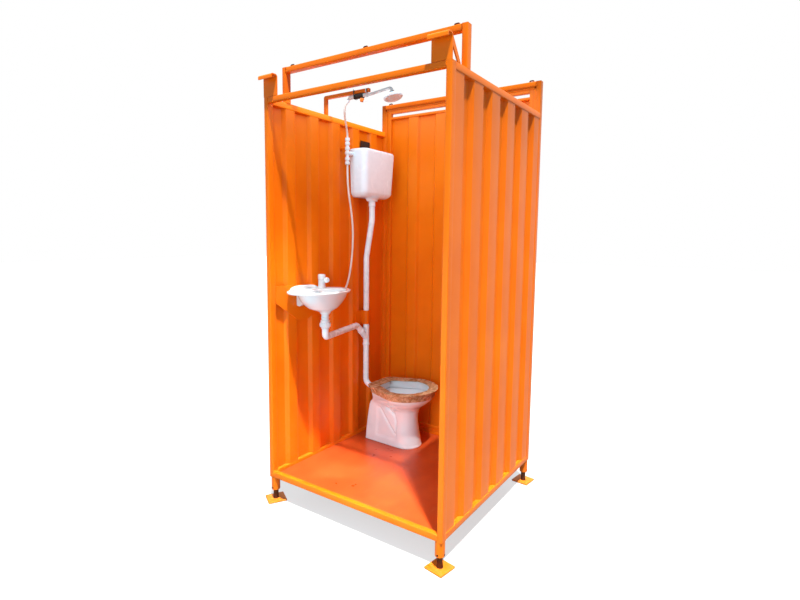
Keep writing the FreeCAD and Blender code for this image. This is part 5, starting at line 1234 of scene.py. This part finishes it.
def shower_head():
    """Domed rose, tipped a little on its ball: smooth shell, rim bead, face plate with rings of nozzles."""
    low, high = extent("shower_head")
    ball_cover = 3
    ball = Vector(((low.x + high.x)/2, SHOWER_Y, high.z - ball_cover))
    top = high.z - low.z
    tipped_by = -16
    tip = Matrix.Rotation(math.radians(tipped_by), 3, "Y")
    shell = [(50, 5), (55.5, 5.2), (57, 6.6), (57, 9), (56, 11.4), (54.4, 12.6), (50, 16.2), (43, 21),
             (35, 25.4), (27.4, 29.2), (22, 32), (18, 34.4), (15.8, 36.6), (15, 39), (15, top - 2.4),
             (14, top - 0.6), (11.6, top)]
    socket = [(11.4, top - 4), (9, top - 12), (0.1, top - 14)]
    face = [(0.1, 1.6), (30, 1.2), (46, 0.5), (49, 0.2), (51.6, 1.2), (52, 3), (52, 5.6)]
    nozzle = [(1.9, 2.2), (1.7, 0.4), (1.3, 0.02), (0.6, 0.02), (0.5, 1.0)]
    shapes = [lathe(shell + socket, (0, 0, 0), steps=64), lathe(face, (0, 0, 0), steps=64)]
    for count, radius in ((6, 12), (12, 24), (18, 36), (22, 45)):
        for angle in [2*math.pi*index/count for index in range(count)]:
            shapes.append(lathe(nozzle, (radius*math.cos(angle), radius*math.sin(angle), 0), steps=8))
    verts, faces = joined(*shapes)
    drop = Vector((0, 0, top - ball_cover))
    tipped = [tuple(ball + tip @ (Vector(point) - drop)) for point in verts]
    piece("shower_head_moulded", (tipped, faces), ABS, "shower_head", ["shower_head"])


# Fasteners, and pieces that keep their CAD form

def rivets():
    """Domed heads where the plates and straps are fixed to the wall ribs."""
    span = 14
    dome = [(5, 0), (5, 0.5), (4.6, 1.3), (3.6, 2), (2, 2.4), (0.1, 2.5)]
    node = NODES["fixing_rivets"]
    corners = [(node.matrix_world @ vertex.co - ORIGIN)/MM for vertex in node.data.vertices]
    centres = []
    for corner in corners:
        if not any((corner - centre).length < span for centre in centres):
            near = [other for other in corners if (other - corner).length < span]
            low = Vector([min(point[i] for point in near) for i in range(3)])
            high = Vector([max(point[i] for point in near) for i in range(3)])
            centres.append(Vector((low.x, (low.y + high.y)/2, (low.z + high.z)/2)))
    shapes = [lathe(dome, centre, (1, 0, 0), 20) for centre in centres]
    piece("fixing_rivets_domed", joined(*shapes), ENAMEL, nodes=["fixing_rivets"])


CAD_FINISHES = {
    ENAMEL: "floor_bearers hook_braces leg_sockets hinge_frame_knuckles bolt_keeper basin_plate pipe_strap "
            "shower_bar hinge_door_knuckles bolt_guides door_pull",
    DECK: "floor_plate",
    RING_STEEL: "lashing_rings",
    ZINC: "door_bolt",
    BLACK: "cistern_bracket",
    PVC: "flush_pipe soil_outlet fill_valve flush_bell flush_lever float_arm shower_valve shower_arm",
}


def finish_cad_nodes():
    """Give every piece that keeps its CAD form its own finish."""
    for finish, names in CAD_FINISHES.items():
        for name in names.split():
            mesh = NODES[name].data
            mesh.materials.clear()
            mesh.materials.append(finish)


# Hoses

HOSE = 13.0
BASIN_HOSE = [
    (60, 645, 1922), (60, 645, 1834), (60, 657, 1735), (60, 685, 1622), (60, 703, 1500), (60, 701, 1378),
    (60, 685, 1262), (60, 660, 1160), (61, 622, 1088), (63, 562, 1042), (67, 504, 1004), (72, 450, 979),
    (75, 403, 986), (75.5, 378, 1024), (75.5, 378, 1064)]
SHOWER_HOSE = [
    (190.96, 490, 2270.66), (175.4, 490, 2255.1), (163, 497, 2229), (150, 513, 2207), (118, 557, 2182),
    (86.6, 604.8, 2151), (66.5, 635.2, 2126), (60, 645, 2102), (60, 645, 2070)]


def hose(name, route, node):
    """A limp hose on a smooth curve with its solid's points."""
    curve = bpy.data.curves.new(name, "CURVE")
    curve.dimensions = "3D"
    spline = curve.splines.new("NURBS")
    spline.points.add(len(route) - 1)
    for point, spot in zip(spline.points, route):
        point.co = (*at(*spot), 1.0)
    spline.order_u = 3
    spline.use_endpoint_u = True
    spline.resolution_u = 12
    curve.bevel_depth = HOSE/2*MM
    curve.bevel_resolution = 6
    item = bpy.data.objects.new(name, curve)
    bpy.context.scene.collection.objects.link(item)
    curve.materials.append(HOSE_PVC)
    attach(item, "cabin")
    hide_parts(node)


# Studio

def shows_white(tree):
    """1 for rays of the camera and for those that metal and glass pass on to it, and 0 for all others."""
    path = add(tree, "LightPath")
    seen = add(tree, "Math", {"operation": "MAXIMUM"},
               {0: path.outputs["Is Camera Ray"], 1: path.outputs["Is Transmission Ray"]})
    shown = add(tree, "Math", {"operation": "MAXIMUM"},
                {0: seen.outputs["Value"], 1: path.outputs["Is Glossy Ray"]})
    return shown.outputs["Value"]


def studio_floor():
    """Pale matt floor that keeps the shadow and looks nearly white."""
    bpy.ops.mesh.primitive_plane_add(size=60, location=(0, 0, 0))
    floor = bpy.context.object
    floor.name = "studio_floor"
    material, tree, shader, _ = surface("studio_floor_pale", Roughness=0.9)
    path = add(tree, "LightPath")
    tint = add(tree, "Mix", {"data_type": "RGBA", 6: linear("6E6E6C"), 7: linear("F4F3F1")},
               {0: path.outputs["Is Camera Ray"]})
    feed(tree, shader, Base_Color=tint.outputs[2])
    share = add(tree, "Math", {"operation": "MULTIPLY", 1: 0.62}, {0: shows_white(tree)})
    white = add(tree, "Emission", {"Strength": 1.0})
    mixed = add(tree, "MixShader", None,
                {0: share.outputs["Value"], 1: shader.outputs["BSDF"], 2: white.outputs["Emission"]})
    feed(tree, tree.nodes["Material Output"], Surface=mixed.outputs["Shader"])
    floor.data.materials.append(material)


def surroundings():
    """White surroundings that light the cabin with a little cool light."""
    world = bpy.data.worlds.new("studio")
    world.use_nodes = True
    bpy.context.scene.world = world
    tree = world.node_tree
    light = tree.nodes["Background"]
    light.inputs["Color"].default_value = (0.78, 0.9, 1.0, 1.0)
    light.inputs["Strength"].default_value = 0.28
    white = add(tree, "Background", {"Color": (1, 1, 1, 1), "Strength": 1.0})
    both = add(tree, "MixShader", None,
               {0: shows_white(tree), 1: light.outputs["Background"], 2: white.outputs["Background"]})
    feed(tree, tree.nodes["World Output"], Surface=both.outputs["Shader"])


# Pieces above the cabin's walls, and the floor, which the key light reaches from every side
OPEN_PIECES = ("studio_floor side_top_rails_tube roof_hoop_tube rear_top_beam_tube front_header_tube "
               "coupling_hooks_bent hook_braces lashing_rings").split()
# White ware in the shaded cabin, with a fill lamp of its own against the colour that the walls throw on it
WARE_PIECES = ("toilet_pan_glazed cistern_tank_moulded cistern_lid_moulded flush_coupling_moulded "
               "flush_pipe flush_y_branch_moulded flush_bend_drawn trap_pipe_bent").split()
KEY_WAY = Vector((0.2555, -0.2274, 0.94)).normalized()
KEY_LEVEL = 8.8
KEY_SPREAD = math.radians(4)
KEY_COLOUR = (1.0, 0.98, 0.94)
SOFT_COLOUR = (0.7, 0.88, 1.0)


def link_to_pieces(holder, names, state):
    """Make a lamp light only some pieces, or all the others."""
    group = bpy.data.collections.new(f"{holder.name}_pieces")
    for name in names:
        group.objects.link(bpy.data.objects[name])
    for item in group.collection_objects:
        item.light_linking.link_state = state
    holder.light_linking.receiver_collection = group


def hang(name, kind, turn, place=(0, 0, 0), **settings):
    """Hang a lamp of a kind, hidden from the camera."""
    lamp = bpy.data.lights.new(name, kind)
    for setting, value in settings.items():
        setattr(lamp, setting, value)
    holder = bpy.data.objects.new(name, lamp)
    holder.matrix_world = Matrix.Translation(place) @ turn.to_4x4()
    holder.visible_camera = False
    bpy.context.scene.collection.objects.link(holder)
    return holder


def key_beam(name, edge, along, across, shift):
    """A parallel beam of the key light that stops at an edge of the cabin, its lamp shifted along it."""
    long_side = 8.0
    short_side = 4.0
    away = 6.0
    u = (along - KEY_WAY*along.dot(KEY_WAY)).normalized()
    v = KEY_WAY.cross(u)
    middle = edge + KEY_WAY*away + u*long_side*shift + v*math.copysign(short_side/2, v.dot(across))
    turn = Matrix((u, v, KEY_WAY)).transposed()
    power = KEY_LEVEL*long_side*short_side
    beam = hang(name, "AREA", turn, middle, shape="RECTANGLE", size=long_side, size_y=short_side,
                energy=power, spread=KEY_SPREAD, color=KEY_COLOUR)
    link_to_pieces(beam, OPEN_PIECES, "EXCLUDE")


def softbox(name, power, size, place, aim):
    """A soft lamp, in metres, that leaves no highlight of its own."""
    turn = (Vector(place) - Vector(aim)).to_track_quat("Z", "Y").to_matrix()
    lamp = hang(name, "AREA", turn, place, shape="RECTANGLE", size=size[0], size_y=size[1], energy=power,
                color=SOFT_COLOUR)
    lamp.visible_glossy = False
    return lamp


def lamps():
    """Key light that leaves the cabin's inside in soft shade, as under a roof, and the soft lamps."""
    turn = KEY_WAY.to_track_quat("Z", "Y").to_matrix()
    key = hang("key", "SUN", turn, energy=KEY_LEVEL, angle=KEY_SPREAD, color=KEY_COLOUR)
    link_to_pieces(key, OPEN_PIECES, "INCLUDE")
    # The beams stop at the header and at the right top rail, so that none comes in over the walls
    header = at(WIDTH - FACE/2, FACE/2, HEADER_LOW + FACE/2)
    rail = at(WIDTH - FACE/2, DEPTH/2, WALL_HEIGHT)
    key_beam("key_front", header, Vector((1, 0, 0)), Vector((0, -1, 0)), -0.5)
    key_beam("key_right", rail, Vector((0, 1, 0)), Vector((1, 0, 0)), 0)
    roof = (WALL_HEIGHT + REAR_BEAM_LOW)/2
    slope = REAR_BEAM_LOW - WALL_HEIGHT
    softbox("front_fill", 70, (2.0, 3.0), (0.6, -5.2, 1.1), (0.6, 0, 1.1))
    softbox("opening_softbox", 5.0, (1.0, 1.5), (0.1, -0.8, 0.8), (0.1, 1, 0.7))
    softbox("overhead_softbox", 9.0, (1.1, 1.05), at(WIDTH/2, DEPTH/2, roof),
            at(WIDTH/2, DEPTH/2 + slope, roof - DEPTH))
    softbox("rear_fill", 150, (2.0, 3.0), (-3.0, 4.2, 2.0), (0, 0, 1.2))
    ware_fill = softbox("ware_fill", 17, (0.7, 0.7), (0.75, -2.1, 2.2), (-0.25, 0.25, 1.0))
    link_to_pieces(ware_fill, WARE_PIECES, "INCLUDE")


def photo_camera():
    """Camera at the photograph's viewpoint, found from the straight edges of the cabin."""
    frame_width = 800
    focal_pixels = 507.04
    shift_pixels = (-9.07, -9.37)
    sensor = 36
    camera = bpy.data.cameras.new("photo_camera")
    camera.sensor_fit = "HORIZONTAL"
    camera.sensor_width = sensor
    camera.lens = focal_pixels*sensor/frame_width
    camera.shift_x = shift_pixels[0]/frame_width
    camera.shift_y = shift_pixels[1]/frame_width
    camera.clip_end = 100
    holder = bpy.data.objects.new("photo_camera", camera)
    bpy.context.scene.collection.objects.link(holder)
    yaw, pitch, roll = (math.radians(angle) for angle in (33.601, -5.964, 0.751))
    ahead = Vector((-math.sin(yaw)*math.cos(pitch), math.cos(yaw)*math.cos(pitch), math.sin(pitch)))
    level = Vector((math.cos(yaw), math.sin(yaw), 0))
    above = level.cross(ahead)
    right = level*math.cos(roll) + above*math.sin(roll)
    up = above*math.cos(roll) - level*math.sin(roll)
    turn = Matrix((right, up, -ahead)).transposed()
    place = at(2312.0, -1984.8, 1444.9)
    holder.matrix_world = Matrix.Translation(place) @ turn.to_4x4()
    bpy.context.scene.camera = holder


frame_tubes()
sheets()
door_frame()
door_stops()
hooks()
legs()
clamp_screws()
toilet()
rim_paper()
basin()
waste()
drain()
tap()
cistern_tank()
lever_bearing()
cistern_lid()
flush_coupling()
supply()
valve_sleeve()
bar_ends()
shower_lever()
shower_head()
rivets()
finish_cad_nodes()
hose("basin_hose_run", BASIN_HOSE, "basin_hose")
hose("shower_hose_run", SHOWER_HOSE, "shower_hose")
studio_floor()
surroundings()
lamps()
photo_camera()
bpy.context.scene.view_settings.view_transform = "Standard"
